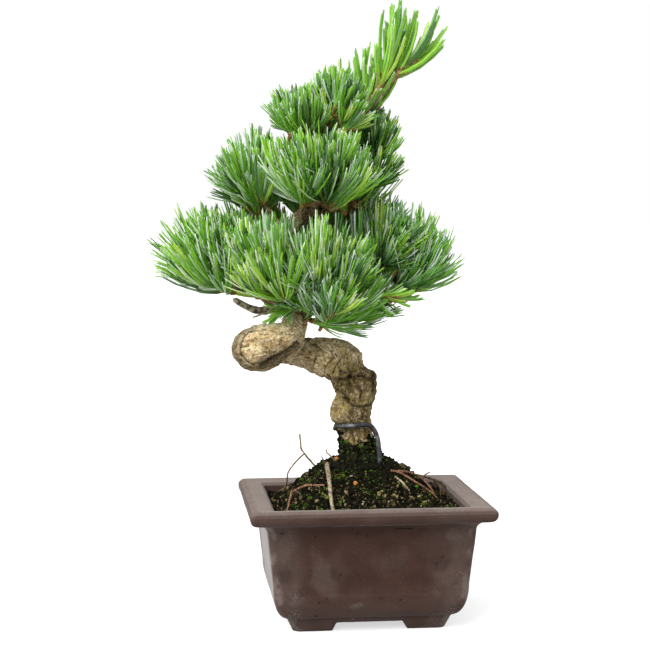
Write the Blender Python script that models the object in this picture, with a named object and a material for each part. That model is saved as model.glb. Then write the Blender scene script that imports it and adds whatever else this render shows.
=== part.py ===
"""Potted Japanese white pine, grown as a small bonsai with a corkscrew trunk.

Units are metres, +Z is up and the front faces -Y. Every place below is measured from the middle
of the pot, at the underside of its feet. The whole plant is then moved by PLANT_PLACE, so that
the origin ends on the ground under the middle of the plant's own box.
"""
import math

import bmesh
import bpy
import numpy as np
from mathutils import Vector

# Clearance kept between two touching pieces, and round a limb that enters another piece
GAP = 0.0003
LIMB_GAP = 0.00036
PLANT_PLACE = (0.0240, -0.0065, 0.0)

# Pot: half lengths along X at each height, the half depth along Y being less by this much
POT_DEPTH_LESS = 0.0088
POT_MIDDLE = (0.0, 0.0022)
FOOT_HALF, FOOT_TOP_HALF, FOOT_HEIGHT = 0.0418, 0.0449, 0.0068
BELLY_MIDDLE, BELLY_RADII = (0.0455, 0.0260), (0.0078, 0.0180)
WALL_TOP = (0.0564, 0.0545)
COVE_MIDDLE, COVE_RADII = (0.0625, 0.0562), (0.0060, 0.0054)
RIM_MIDDLE, RIM_RADII = (0.0625, 0.0656), (0.0036, 0.0040)
RIM_INNER = ((0.0536, 0.0685), (0.0522, 0.0668))
CAVITY = ((0.0500, 0.0560), (0.0472, 0.0260), (0.0440, 0.0150), (0.0405, 0.0125))
POT_CORNER = 0.0045
CORNER_STEPS = 3

# Arches between the feet: half width on the ground, half width at the top, height
LONG_ARCH = (0.0210, 0.0178, 0.0044)
SHORT_ARCH = (0.0125, 0.0095, 0.0044)

# Soil: level in the pot's corners, and a round mound up to a small flat where the trunk stands
SOIL_LEVEL = 0.0635
SOIL_INSET = 0.0004
MOUND_TOP = 0.0895
MOUND_FLAT = 0.0160
MOUND_SPAN = (0.0165, 0.0500)
MOUND_RINGS = 6
MOUND_BULGE = 0.04
SOIL_LUMP, LUMP_WAVES, LUMP_TURN = 0.0007, (260.0, 310.0), 3.0

# Trunk, in millimetres: x, y, z and radius at each bend, from the flat cut at the soil upwards
TRUNK_FOOT = (
    (-1.6, -2.6, 87.0, 15.2), (-1.9, -2.7, 91.0, 12.6), (-3.0, -3.1, 96.0, 10.6),
    (-5.0, -3.5, 107.3, 9.4), (-7.2, -3.2, 114.0, 11.0), (-4.6, -2.0, 122.5, 10.1),
    (-3.8, 0.4, 129.0, 11.7), (-6.6, 3.1, 135.2, 11.3), (-12.9, 9.6, 143.2, 12.5),
    (-29.7, 19.0, 146.9, 9.3),
)
TRUNK_LEADER = (
    (-40.2, -7.5, 161.5, 7.6), (-37.4, -2.0, 167.5, 6.6), (-37.6, 2.5, 174.0, 6.1),
    (-40.5, 3.5, 188.0, 5.5), (-44.2, 4.5, 203.0, 5.1), (-43.2, 5.0, 213.0, 4.7),
    (-34.0, 3.5, 223.5, 4.2), (-23.5, 1.5, 236.0, 3.7), (-13.0, 0.5, 253.0, 3.2),
    (-3.4, 0.0, 272.0, 2.6), (4.6, -0.5, 287.0, 2.1), (11.5, -1.3, 296.0, 1.8),
    (13.2, -1.5, 307.0, 1.2),
)
# The corkscrew turn between them: middle, radius, heights, thicknesses, and first and last angle
TURN_MIDDLE, TURN_RADIUS = (-45.0, 5.5), 16.5
TURN_HEIGHTS, TURN_THICKNESS = (150.0, 151.2, 151.5, 152.0, 156.0), (8.8, 9.8, 10.9, 13.0, 10.6)
TURN_ANGLES = (85.0, 275.0)
ROUTE_STEPS = 2
TRUNK_SIDES = 10
BOUGH_SIDES = 6

# Wire: thickness, where it leaves the neck of the trunk and where it enters the soil
WIRE_RADIUS = 0.0014
WIRE_SLACK = 0.0013
WIRE_HEIGHTS = (0.1085, 0.1100)
WIRE_ANGLES = (110.0, 335.0)
WIRE_TURN_STEPS = 8
WIRE_WIDEST = 0.0018
NECK_STATIONS = 12
WIRE_FOOT = (
    (0.0058, -0.0085, 0.1048), (0.0070, -0.0098, 0.0985),
    (0.0082, -0.0128, 0.0936), (0.0093, -0.0140, 0.0908),
)

# Foliage, in millimetres: middle, half sizes along X, Y and Z
MASSES = {
    "low_far_left": ((-90.5, 12.0, 208.5), (23.5, 27.0, 26.5)),
    "low_left_front": ((-61.0, -23.5, 199.5), (22.5, 24.0, 25.5)),
    "low_front": ((-20.0, -34.0, 191.0), (26.5, 27.0, 29.5)),
    "low_right_front": ((-4.0, -3.0, 176.5), (25.5, 21.0, 20.0)),
    "low_right": ((28.5, -1.5, 203.0), (23.5, 30.0, 27.5)),
    "low_back_right": ((15.0, 33.0, 196.5), (22.0, 24.0, 24.0)),
    "low_back": ((-17.5, 48.0, 197.5), (27.0, 26.0, 29.0)),
    "low_back_left": ((-55.5, 40.5, 201.5), (26.0, 26.0, 26.5)),
    "middle_left": ((-67.0, 9.5, 245.5), (19.0, 25.0, 25.5)),
    "middle_front": ((-28.0, -21.0, 249.5), (33.0, 24.0, 24.5)),
    "middle_right": ((3.0, -3.0, 242.0), (18.0, 19.0, 16.5)),
    "middle_back_right": ((5.0, 23.5, 231.5), (20.5, 22.0, 21.5)),
    "middle_back": ((-32.0, 32.0, 247.0), (26.5, 24.0, 26.0)),
    "upper_left": ((-35.0, 1.0, 279.5), (17.5, 19.0, 17.5)),
    "upper_front": ((-15.5, -8.5, 291.0), (15.0, 17.0, 21.5)),
    "upper_right": ((10.0, 9.0, 269.0), (10.0, 17.0, 19.0)),
    "upper_back": ((-13.0, 21.5, 281.0), (17.0, 18.0, 20.5)),
    "leader_foot": ((7.5, -0.5, 294.5), (9.0, 12.0, 11.5)),
    "leader": ((24.0, -2.5, 319.0), (20.0, 19.0, 23.0)),
}
MASS_SEGMENTS, MASS_RINGS = 15, 9
KNOBS = 9
KNOB_HEIGHTS = (0.14, 0.40)
KNOB_SHARPNESS = 7.0

# Boughs, in millimetres: the mass each one carries, its height on the trunk, its radius there
# and at its tip, and how far its middle sags below a straight line
BOUGHS = {
    "low_left": ("low_far_left", 176.0, 3.4, 2.2, 7.0),
    "low_left_front": ("low_left_front", 183.0, 2.9, 2.0, 1.5),
    "low_front": ("low_front", 179.0, 3.0, 2.0, 2.0),
    "low_right_front": ("low_right_front", 173.0, 2.6, 1.8, 1.0),
    "low_right": ("low_right", 196.0, 3.2, 2.0, 3.0),
    "low_back_right": ("low_back_right", 190.0, 2.8, 1.8, 2.0),
    "low_back": ("low_back", 184.0, 2.9, 2.0, 2.0),
    "low_back_left": ("low_back_left", 192.0, 2.8, 1.9, 1.5),
    "middle_left": ("middle_left", 214.0, 2.6, 1.7, -3.0),
    "middle_front": ("middle_front", 221.0, 2.3, 1.6, 0.0),
    "middle_right": ("middle_right", 234.0, 2.1, 1.5, 0.5),
    "middle_back_right": ("middle_back_right", 226.0, 2.3, 1.6, 1.0),
    "middle_back": ("middle_back", 230.0, 2.2, 1.6, 0.0),
    "upper_left": ("upper_left", 257.0, 1.9, 1.4, 1.0),
    "upper_front": ("upper_front", 270.0, 1.6, 1.2, 0.5),
    "upper_right": ("upper_right", 262.0, 1.6, 1.2, 0.5),
    "upper_back": ("upper_back", 266.0, 1.7, 1.2, 0.5),
}
BOUGH_REACH = 0.78
BOUGH_STEPS = 6
BOUGH_LEAVE, BOUGH_RISE, BOUGH_ENTER = 0.35, 0.35, 0.30

# Finishes: colour, roughness and metallic value
FINISHES = {
    "clay": ((0.092, 0.058, 0.047), 0.72, 0.0),
    "earth": ((0.028, 0.022, 0.014), 0.95, 0.0),
    "bark": ((0.300, 0.235, 0.150), 0.90, 0.0),
    "needles": ((0.100, 0.230, 0.075), 0.60, 0.0),
    "wire": ((0.060, 0.062, 0.066), 0.45, 0.8),
}


def clear_scene():
    for obj in list(bpy.data.objects):
        bpy.data.objects.remove(obj, do_unlink=True)


def finish(name):
    """The Principled material with this name's colour, roughness and metallic value."""
    if name in bpy.data.materials:
        return bpy.data.materials[name]
    colour, roughness, metallic = FINISHES[name]
    material = bpy.data.materials.new(name)
    material.use_nodes = True
    shader = material.node_tree.nodes["Principled BSDF"]
    shader.inputs["Base Color"].default_value = (*colour, 1.0)
    shader.inputs["Roughness"].default_value = roughness
    shader.inputs["Metallic"].default_value = metallic
    return material


def collection(name):
    made = bpy.data.collections.new(name)
    bpy.context.scene.collection.children.link(made)
    return made


def add_piece(name, bm, home, material):
    """Turns the bmesh into an object of this name in the collection home."""
    bmesh.ops.recalc_face_normals(bm, faces=bm.faces)
    mesh = bpy.data.meshes.new(name)
    bm.to_mesh(mesh)
    bm.free()
    piece = bpy.data.objects.new(name, mesh)
    home.objects.link(piece)
    if material:
        mesh.materials.append(finish(material))
    return piece


def as_cutter(piece):
    piece.hide_render = True
    piece.display_type = "WIRE"
    return piece


def arc(middle, radii, first, last, steps):
    """Points on an elliptic arc between two angles in degrees."""
    angles = np.radians(np.linspace(first, last, steps + 1))
    return [(middle[0] + radii[0] * math.cos(a), middle[1] + radii[1] * math.sin(a)) for a in angles]


def rounded_rectangle(half_x, half_y, radius, height, middle=(0.0, 0.0)):
    """One ring of a rectangle with round corners, anticlockwise seen from above."""
    ring = []
    for quarter in range(4):
        side_x = 1 if quarter in (0, 3) else -1
        side_y = 1 if quarter in (0, 1) else -1
        for step in range(CORNER_STEPS + 1):
            angle = math.pi / 2 * (quarter + step / CORNER_STEPS)
            x = side_x * (half_x - radius) + radius * math.cos(angle)
            y = side_y * (half_y - radius) + radius * math.sin(angle)
            ring.append((middle[0] + x, middle[1] + y, height))
    return ring


def loft(rings):
    """A closed bmesh through rings of equal count, with a flat face on the first and the last."""
    bm = bmesh.new()
    rows = [[bm.verts.new(point) for point in ring] for ring in rings]
    count = len(rows[0])
    for low, high in zip(rows, rows[1:]):
        for i in range(count):
            j = (i + 1) % count
            bm.faces.new((low[i], low[j], high[j], high[i]))
    bm.faces.new(list(reversed(rows[0])))
    bm.faces.new(rows[-1])
    return bm


def pot_ring(half, height, corner=POT_CORNER):
    return rounded_rectangle(half, half - POT_DEPTH_LESS, corner, height, POT_MIDDLE)


def arch_cutter(name, arch, along_y, home):
    """A long block with slanted ends, which opens the gap between two feet right through."""
    low_half, top_half, height = arch
    bm = bmesh.new()
    bmesh.ops.create_cube(bm, size=1.0)
    for vert in bm.verts:
        top = vert.co.z > 0
        half = top_half if top else low_half + (low_half - top_half) * FOOT_HEIGHT / height
        across = math.copysign(half, vert.co.x)
        along = math.copysign(4 * FOOT_HALF, vert.co.y)
        if not along_y:
            across, along = along, across
        vert.co = (POT_MIDDLE[0] + across, POT_MIDDLE[1] + along, height if top else -FOOT_HEIGHT)
    return as_cutter(add_piece(name, bm, home, None))


def make_pot(home, cutters):
    outline = [(FOOT_HALF, 0.0), (FOOT_TOP_HALF, FOOT_HEIGHT)]
    outline += arc(BELLY_MIDDLE, BELLY_RADII, -90, 0, 4)
    outline += [WALL_TOP]
    outline += arc(COVE_MIDDLE, COVE_RADII, 180, 90, 2)
    outline += arc(RIM_MIDDLE, RIM_RADII, -90, 90, 4)[1:]
    outline += list(RIM_INNER) + list(CAVITY)
    pot = add_piece("pot", loft([pot_ring(half, height) for half, height in outline]), home, "clay")
    for name, arch, along_y in (("arch_front", LONG_ARCH, True), ("arch_side", SHORT_ARCH, False)):
        cut = pot.modifiers.new(name, "BOOLEAN")
        cut.solver = "EXACT"
        cut.operation = "DIFFERENCE"
        cut.object = arch_cutter(name, arch, along_y, cutters)
    return pot


def mound_height(x, y, foot):
    """Highest on the flat round the trunk's foot, falling with a slight bulge to the level outside."""
    first, last = MOUND_SPAN
    distance = math.hypot(x - foot[0], y - foot[1])
    share = min(max((last - distance) / (last - first), 0.0), 1.0)
    return SOIL_LEVEL + (MOUND_TOP - SOIL_LEVEL) * (share + MOUND_BULGE * math.sin(math.pi * share))


def make_soil(home):
    """Fills the pot's hollow, and rises in rings to the flat round the trunk."""
    rings = [pot_ring(half - SOIL_INSET, height + GAP) for half, height in reversed(CAVITY)]
    (low_half, low), (high_half, high) = CAVITY[0], RIM_INNER[1]
    side_half = low_half + (high_half - low_half) * (SOIL_LEVEL - low) / (high - low) - SOIL_INSET
    rings.append(pot_ring(side_half, SOIL_LEVEL))
    foot = [0.001 * value for value in TRUNK_FOOT[0][:2]]
    for step in range(1, MOUND_RINGS + 1):
        t = step / MOUND_RINGS
        half_x = side_half + (MOUND_FLAT - side_half) * t
        half_y = side_half - POT_DEPTH_LESS + (MOUND_FLAT - side_half + POT_DEPTH_LESS) * t
        corner = POT_CORNER + (MOUND_FLAT - POT_CORNER) * t
        middle = [pot * (1 - t) + trunk * t for pot, trunk in zip(POT_MIDDLE, foot)]
        lump = SOIL_LUMP * math.sin(math.pi * t)
        ring = []
        for x, y, _ in rounded_rectangle(half_x, half_y, corner, 0.0, middle):
            wave = math.sin(LUMP_WAVES[0] * x + LUMP_TURN * step) * math.cos(LUMP_WAVES[1] * y)
            ring.append((x, y, mound_height(x, y, foot) + lump * wave))
        rings.append(ring)
    return add_piece("soil", loft(rings), home, "earth")


def smooth_route(points, steps):
    """Points on a Catmull-Rom curve through the given ones, each with its radius as fourth value."""
    given = np.array(points, float)
    ends = np.vstack([2 * given[0] - given[1], given, 2 * given[-1] - given[-2]])
    made = []
    for a, b, c, d in zip(ends, ends[1:], ends[2:], ends[3:]):
        for t in np.linspace(0, 1, steps, endpoint=False):
            made.append(0.5 * (2 * b + (c - a) * t + (2 * a - 5 * b + 4 * c - d) * t**2
                               + (3 * b - a - 3 * c + d) * t**3))
    return np.array([*made, given[-1]])


def tube(name, route, sides, home, material, grow=0.0, longer=0.0):
    """A round limb along the route, as a mesh with welded caps, thicker by grow and longer at its tip."""
    route = np.array(route, float)
    if longer:
        tip = route[-1, :3] - route[-2, :3]
        route[-1, :3] += longer * tip / np.linalg.norm(tip)
    curve = bpy.data.curves.new(name, "CURVE")
    curve.dimensions = "3D"
    curve.bevel_depth = 1.0
    curve.bevel_resolution = (sides - 4) // 2
    curve.use_fill_caps = True
    spline = curve.splines.new("POLY")
    spline.points.add(len(route) - 1)
    spline.points.foreach_set("co", np.c_[route[:, :3], np.ones(len(route))].ravel())
    spline.points.foreach_set("radius", route[:, 3] + grow)
    guide = bpy.data.objects.new(name + "_guide", curve)
    home.objects.link(guide)
    evaluated = guide.evaluated_get(bpy.context.evaluated_depsgraph_get())
    mesh = bpy.data.meshes.new_from_object(evaluated)
    bm = bmesh.new()
    bm.from_mesh(mesh)
    bmesh.ops.remove_doubles(bm, verts=bm.verts, dist=1e-6)
    bpy.data.objects.remove(guide, do_unlink=True)
    bpy.data.meshes.remove(mesh)
    return add_piece(name, bm, home, material)


def trunk_route():
    """The whole trunk in metres: its foot, the corkscrew turn as an arc, and the leader."""
    turn = []
    for angle, height, radius in zip(np.radians(np.linspace(*TURN_ANGLES, len(TURN_HEIGHTS))),
                                     TURN_HEIGHTS, TURN_THICKNESS):
        x = TURN_MIDDLE[0] + TURN_RADIUS * math.cos(angle)
        y = TURN_MIDDLE[1] + TURN_RADIUS * math.sin(angle)
        turn.append((x, y, height, radius))
    return 0.001 * smooth_route([*TRUNK_FOOT, *turn, *TRUNK_LEADER], ROUTE_STEPS)


def trunk_at(route, height):
    """The point of the leader's middle line at this height, with its radius."""
    leader = route[route[:, 2] > 0.001 * TRUNK_LEADER[1][2]]
    return np.array([np.interp(height, leader[:, 2], leader[:, axis]) for axis in range(4)])


def bough_route(start, mass, base_radius, tip_radius, sag):
    """A cubic curve from the trunk to a point just inside the mass, sagging at its middle."""
    middle, half = (0.001 * np.array(values) for values in mass)
    away = start - middle
    end = middle + away * BOUGH_REACH / np.linalg.norm(away / half)
    span = end - start
    flat = np.array([span[0], span[1], BOUGH_RISE * span[2]])
    first = start + BOUGH_LEAVE * flat - (0, 0, sag)
    second = end - BOUGH_ENTER * span - (0, 0, sag)
    t = np.linspace(0, 1, BOUGH_STEPS + 1)[:, None]
    line = (1 - t)**3 * start + 3 * (1 - t)**2 * t * first + 3 * (1 - t) * t**2 * second + t**3 * end
    return np.c_[line, base_radius + (tip_radius - base_radius) * t]


def mass_points(directions, middle, half, seed):
    """An ellipsoid with seeded knobs on it, fitted to its half sizes."""
    rng = np.random.default_rng(seed)
    knobs = rng.normal(size=(KNOBS, 3))
    knobs /= np.linalg.norm(knobs, axis=1, keepdims=True)
    heights = rng.uniform(*KNOB_HEIGHTS, KNOBS)
    swell = 1 + np.exp(KNOB_SHARPNESS * (directions @ knobs.T - 1)) @ heights
    points = directions * swell[:, None]
    low, high = points.min(axis=0), points.max(axis=0)
    return (points - (low + high) / 2) / ((high - low) / 2) * half + middle


def slice_between(bm_a, bm_b, middle_a, middle_b):
    """Parts two masses with a plane square to the line between their middles, a gap apart."""
    between = middle_b - middle_a
    distance = np.linalg.norm(between)
    normal = between / distance
    reach_a = max(np.array([vert.co for vert in bm_a.verts]) @ normal) - middle_a @ normal
    reach_b = middle_b @ normal - min(np.array([vert.co for vert in bm_b.verts]) @ normal)
    if reach_a + reach_b < distance - GAP:
        return
    meeting = middle_a + between * reach_a / (reach_a + reach_b)
    for bm, side in ((bm_a, 1), (bm_b, -1)):
        cut_off(bm, Vector(meeting - normal * side * GAP / 2), Vector(normal * side))


def cut_off(bm, place, normal):
    """Takes away what lies past a plane, on the side its normal points to, and closes the cut."""
    everything = bm.verts[:] + bm.edges[:] + bm.faces[:]
    bmesh.ops.bisect_plane(bm, geom=everything, dist=1e-7, plane_co=place, plane_no=normal, clear_outer=True)
    open_edges = [edge for edge in bm.edges if edge.is_boundary]
    bmesh.ops.holes_fill(bm, edges=open_edges, sides=0)


def level_foot(trunk):
    """Cuts the trunk flat, a gap above the flat of the mound."""
    bm = bmesh.new()
    bm.from_mesh(trunk.data)
    cut_off(bm, Vector((0, 0, MOUND_TOP + GAP)), Vector((0, 0, -1)))
    bm.to_mesh(trunk.data)
    bm.free()


def keep_largest(mesh):
    """Drops every loose sliver of the mesh but its largest body."""
    bm = bmesh.new()
    bm.from_mesh(mesh)
    bodies = []
    unseen = set(bm.verts)
    while unseen:
        body = {unseen.pop()}
        edge_of_body = list(body)
        while edge_of_body:
            vert = edge_of_body.pop()
            for edge in vert.link_edges:
                other = edge.other_vert(vert)
                if other in unseen:
                    unseen.discard(other)
                    body.add(other)
                    edge_of_body.append(other)
        bodies.append(body)
    bodies.sort(key=len)
    for body in bodies[:-1]:
        bmesh.ops.delete(bm, geom=list(body), context="VERTS")
    bm.to_mesh(mesh)
    bm.free()


def boxes_meet(piece_a, piece_b):
    a, b = (np.array([vert.co for vert in piece.data.vertices]) for piece in (piece_a, piece_b))
    return bool((a.min(axis=0) < b.max(axis=0)).all() and (b.min(axis=0) < a.max(axis=0)).all())


def carve(piece, limbs):
    """Cuts the room for these limbs out of the piece and keeps its largest body."""
    near = [limb for limb in limbs if boxes_meet(piece, limb)]
    for limb in near:
        cut = piece.modifiers.new(limb.name, "BOOLEAN")
        cut.solver = "EXACT"
        cut.operation = "DIFFERENCE"
        cut.object = limb
    if not near:
        return
    evaluated = piece.evaluated_get(bpy.context.evaluated_depsgraph_get())
    mesh = bpy.data.meshes.new_from_object(evaluated)
    piece.modifiers.clear()
    keep_largest(mesh)
    piece.data = mesh
    mesh.name = piece.name


def make_wire(route, home):
    """Half a turn round the neck of the trunk, then down beside it to the soil."""
    foot = route[:NECK_STATIONS]
    points = []
    for t in np.linspace(0, 1, WIRE_TURN_STEPS):
        height = WIRE_HEIGHTS[0] + (WIRE_HEIGHTS[1] - WIRE_HEIGHTS[0]) * t
        x, y = (np.interp(height, foot[:, 2], foot[:, axis]) for axis in (0, 1))
        radius = np.interp(height + WIRE_WIDEST, foot[:, 2], foot[:, 3])
        angle = math.radians(WIRE_ANGLES[0] + (WIRE_ANGLES[1] - WIRE_ANGLES[0]) * t)
        reach = radius + WIRE_RADIUS + WIRE_SLACK
        points.append((x + reach * math.cos(angle), y + reach * math.sin(angle), height, WIRE_RADIUS))
    points += [(*point, WIRE_RADIUS) for point in WIRE_FOOT]
    return tube("wire", smooth_route(points, ROUTE_STEPS), BOUGH_SIDES, home, "wire")


def make_masses(home):
    """Every foliage mass, parted from its neighbours."""
    middles = {name: 0.001 * np.array(middle) for name, (middle, _) in MASSES.items()}
    shapes = {}
    for seed, (name, (_, half)) in enumerate(MASSES.items()):
        bm = bmesh.new()
        bmesh.ops.create_uvsphere(bm, u_segments=MASS_SEGMENTS, v_segments=MASS_RINGS, radius=1.0)
        directions = np.array([vert.co.normalized() for vert in bm.verts])
        points = mass_points(directions, middles[name], 0.001 * np.array(half), seed)
        for vert, point in zip(bm.verts, points):
            vert.co = point
        shapes[name] = bm
    names = list(MASSES)
    for i, first in enumerate(names):
        for second in names[i + 1:]:
            slice_between(shapes[first], shapes[second], middles[first], middles[second])
    return [add_piece("foliage_" + name, bm, home, "needles") for name, bm in shapes.items()]


def main():
    clear_scene()
    plant = collection("potted_white_pine")
    cutters = collection("cutters")

    make_pot(plant, cutters)
    make_soil(plant)

    route = trunk_route()
    level_foot(tube("trunk", route, TRUNK_SIDES, plant, "bark"))
    limbs = [as_cutter(tube("room_for_trunk", route, TRUNK_SIDES, cutters, None, LIMB_GAP, GAP))]
    make_wire(route, plant)

    for name, (mass, height, base, tip, sag) in BOUGHS.items():
        start = trunk_at(route, 0.001 * height)[:3]
        path = bough_route(start, MASSES[mass], 0.001 * base, 0.001 * tip, 0.001 * sag)
        bough = tube("bough_" + name, path, BOUGH_SIDES, plant, "bark")
        carve(bough, limbs[:1])
        limbs.append(as_cutter(tube("room_for_" + name, path, BOUGH_SIDES, cutters, None, LIMB_GAP, GAP)))

    for mass in make_masses(plant):
        carve(mass, limbs)

    stand = bpy.data.objects.new("stand", None)
    plant.objects.link(stand)
    for piece in list(plant.objects) + list(cutters.objects):
        if piece is not stand:
            piece.parent = stand
        if piece.type == "MESH" and piece.name in ("pot", "soil", "wire", "trunk"):
            piece.data.shade_smooth()
            piece.data.set_sharp_from_angle(angle=math.radians(40))
    stand.location = PLANT_PLACE


main()
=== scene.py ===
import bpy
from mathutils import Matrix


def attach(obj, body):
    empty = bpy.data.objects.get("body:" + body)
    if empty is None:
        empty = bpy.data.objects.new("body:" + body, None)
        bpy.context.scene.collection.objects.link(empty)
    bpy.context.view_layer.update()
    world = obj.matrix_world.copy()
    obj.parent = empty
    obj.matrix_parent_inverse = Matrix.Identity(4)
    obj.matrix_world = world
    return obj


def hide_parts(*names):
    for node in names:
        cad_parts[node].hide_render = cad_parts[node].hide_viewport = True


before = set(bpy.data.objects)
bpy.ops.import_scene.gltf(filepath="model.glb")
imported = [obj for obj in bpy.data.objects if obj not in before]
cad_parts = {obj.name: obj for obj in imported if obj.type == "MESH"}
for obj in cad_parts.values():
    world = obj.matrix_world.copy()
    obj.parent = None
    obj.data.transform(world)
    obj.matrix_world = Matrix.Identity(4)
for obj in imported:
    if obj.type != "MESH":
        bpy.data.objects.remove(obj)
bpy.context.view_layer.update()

"""Looks of a potted Japanese white pine: a small bonsai with a corkscrew trunk in a clay pot.

Lengths are metres unless a name or comment says millimetres, +Z is up and the front faces -Y.
Shapes are worked out from the middle of the pot and moved by PLANT_PLACE as they enter a mesh.
"""
import logging
import math
from collections.abc import Callable
from dataclasses import dataclass, field
from enum import Enum

import bpy
import numpy as np

MM = 0.001
PLANT_PLACE = np.array((24.0, -6.5, 0.0)) * MM
UP = np.array((0.0, 0.0, 1.0))
GOLDEN_ANGLE = math.pi * (3.0 - math.sqrt(5.0))
TURN = 2 * math.pi
log = logging.getLogger("pine")

Array = np.ndarray
Material = bpy.types.Material
Random = np.random.Generator
Pair = tuple[float, float]
Place = tuple[float, float, float]
Colour = tuple[float, float, float]
WHITE = (1.0, 1.0, 1.0)


# Arithmetic on whole arrays

def unit(vectors: Array) -> Array:
    """The vectors along the last axis, each scaled to a length of one."""
    return vectors / np.maximum(np.linalg.norm(vectors, axis=-1, keepdims=True), 1e-12)


def smooth_step(low: float, high: float, values: Array) -> Array:
    """Rises from 0 at low to 1 at high along the cubic 3t squared minus 2t cubed."""
    t = np.clip((values - low) / (high - low), 0.0, 1.0)
    return t * t * (3.0 - 2.0 * t)


def bell(values: Array, width: float) -> Array:
    """A bell curve: e to the power of minus the square of the values over the width."""
    return np.exp(-((values / width) ** 2))


def blend(first: Array, last: Array, share: Array) -> Array:
    """Goes evenly from the first to the last as the share goes from 0 to 1."""
    return first + (last - first) * share


def circle(angle: Array, first: Array, second: Array) -> Array:
    """The cosine of the angle along the first direction plus its sine along the second."""
    return np.cos(angle)[..., None] * first + np.sin(angle)[..., None] * second


def spokes(angle: Array) -> Array:
    """The cosine and sine of each angle, side by side."""
    return np.stack([np.cos(angle), np.sin(angle)], axis=-1)


def distances(path: Array) -> Array:
    """How far along a path each of its stations lies."""
    return np.concatenate([[0], np.cumsum(np.linalg.norm(np.diff(path, axis=0), axis=1))])


def cell_value(cells: Array, seed: int) -> Array:
    """A steady random number from 0 to 1 for each cell of a whole-number grid.

    Formula: the indices times large primes, folded by exclusive or, then mixed by a product and shifts.

    Args:
        cells: whole numbers, three along the last axis.
        seed: picks the pattern.

    Returns:
        One number for each cell.
    """
    mixed = (cells[..., 0] * 73856093) ^ (cells[..., 1] * 19349663) ^ (cells[..., 2] * 83492791)
    mixed = (mixed ^ (seed * 2654435761)) & 0xFFFFFFFF
    mixed = ((mixed ^ (mixed >> 13)) * 1274126177) & 0xFFFFFFFF
    return ((mixed ^ (mixed >> 16)) & 0xFFFFFF) / float(0xFFFFFF)


def lattice_noise(points: Array, pitch: float, seed: int) -> Array:
    """Soft noise from -1 to 1: random values at a cubic lattice, blended by smooth weights.

    Args:
        points: places, three along the last axis.
        pitch: the lattice's spacing.
        seed: picks the pattern.

    Returns:
        One value for each place.
    """
    scaled = points / pitch
    cell = np.floor(scaled).astype(np.int64)
    part = scaled - cell
    weight = part * part * (3.0 - 2.0 * part)
    total = np.zeros(points.shape[:-1])
    for corner in np.ndindex(2, 2, 2):
        share = np.prod(np.where(np.array(corner) == 1, weight, 1.0 - weight), axis=-1)
        total += share * cell_value(cell + np.array(corner), seed)
    return 2.0 * total - 1.0


def layered_noise(points: Array, pitch: float, seed: int, layers: int = 3) -> Array:
    """Sums lattice noise, each layer half as high and half as wide as the one before.

    Args:
        points: places.
        pitch: spacing of the widest layer.
        seed: picks the pattern.
        layers: their number.

    Returns:
        One value for each place.
    """
    parts = [lattice_noise(points, pitch / 2**n, seed + 17 * n) / 2**n for n in range(layers)]
    return sum(parts) / (2.0 - 0.5 ** (layers - 1))


def plate_noise(points: Array, pitch: float, seed: int) -> tuple[Array, Array]:
    """Cells like bark plates, from one jittered seed point in each cube of a lattice.

    Formula: the distance to the second nearest seed point less that to the nearest: zero on the line
    between two plates.

    Args:
        points: places.
        pitch: spacing of the plates.
        seed: picks the pattern.

    Returns:
        That difference in pitches, and a random number from 0 to 1 for each plate.
    """
    scaled = points / pitch
    home = np.floor(scaled).astype(np.int64)
    nearest = np.full(points.shape[:-1], 9.0)
    second = nearest.copy()
    tone = np.zeros(points.shape[:-1])
    for step in np.ndindex(3, 3, 3):
        cell = home + np.array(step) - 1
        jitter = np.stack([cell_value(cell, seed + k) for k in (1, 2, 3)], axis=-1)
        distance = np.linalg.norm(cell + jitter - scaled, axis=-1)
        closer = distance < nearest
        second = np.where(closer, nearest, np.minimum(second, distance))
        tone = np.where(closer, cell_value(cell, seed + 4), tone)
        nearest = np.where(closer, distance, nearest)
    return second - nearest, tone


def smooth_route(points: Array, steps: int) -> Array:
    """A Catmull-Rom curve: in each span a cubic through its two points, aimed by their neighbours.

    Args:
        points: the given points, with any further values beside them.
        steps: stations in each span.

    Returns:
        The stations, ending on the last given point.
    """
    given = np.array(points, float)
    ends = np.vstack([2 * given[0] - given[1], given, 2 * given[-1] - given[-2]])
    a, b, c, d = (ends[k:len(ends) - 3 + k, None, :] for k in range(4))
    t = np.linspace(0, 1, steps, endpoint=False)[None, :, None]
    spans = 0.5 * (2 * b + (c - a) * t + (2 * a - 5 * b + 4 * c - d) * t**2
                   + (3 * b - a - 3 * c + d) * t**3)
    return np.vstack([spans.reshape(-1, given.shape[1]), given[-1]])


def bezier(controls: Array, t: Array) -> Array:
    """Points on cubic curves.

    Args:
        controls: four control points for each curve, n by 4 by 3.
        t: shares along each curve, n by s.

    Returns:
        Points, n by s by 3.
    """
    t = t[..., None]
    a, b, c, d = (controls[:, k, None, :] for k in range(4))
    return (1 - t)**3 * a + 3 * (1 - t)**2 * t * b + 3 * (1 - t) * t**2 * c + t**3 * d


def carried_frames(path: Array) -> tuple[Array, Array, Array]:
    """A frame carried along a path, turning only as far as the path itself does.

    Args:
        path: stations, n by 3.

    Returns:
        The tangents and two directions square to them.
    """
    tangents = unit(np.gradient(path, axis=0))
    across = np.empty_like(tangents)
    last = unit(np.cross(tangents[0], (0.0, 1.0, 0.1)))
    for station, tangent in enumerate(tangents):
        last = unit(last - (last @ tangent) * tangent)
        across[station] = last
    return tangents, across, np.cross(tangents, across)


# Meshes

def linked(name: str, data: bpy.types.ID) -> bpy.types.Object:
    """Puts a new object into the scene.

    Args:
        name: its name.
        data: what it shows.

    Returns:
        The object.
    """
    made = bpy.data.objects.new(name, data)
    bpy.context.scene.collection.objects.link(made)
    return made


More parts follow.
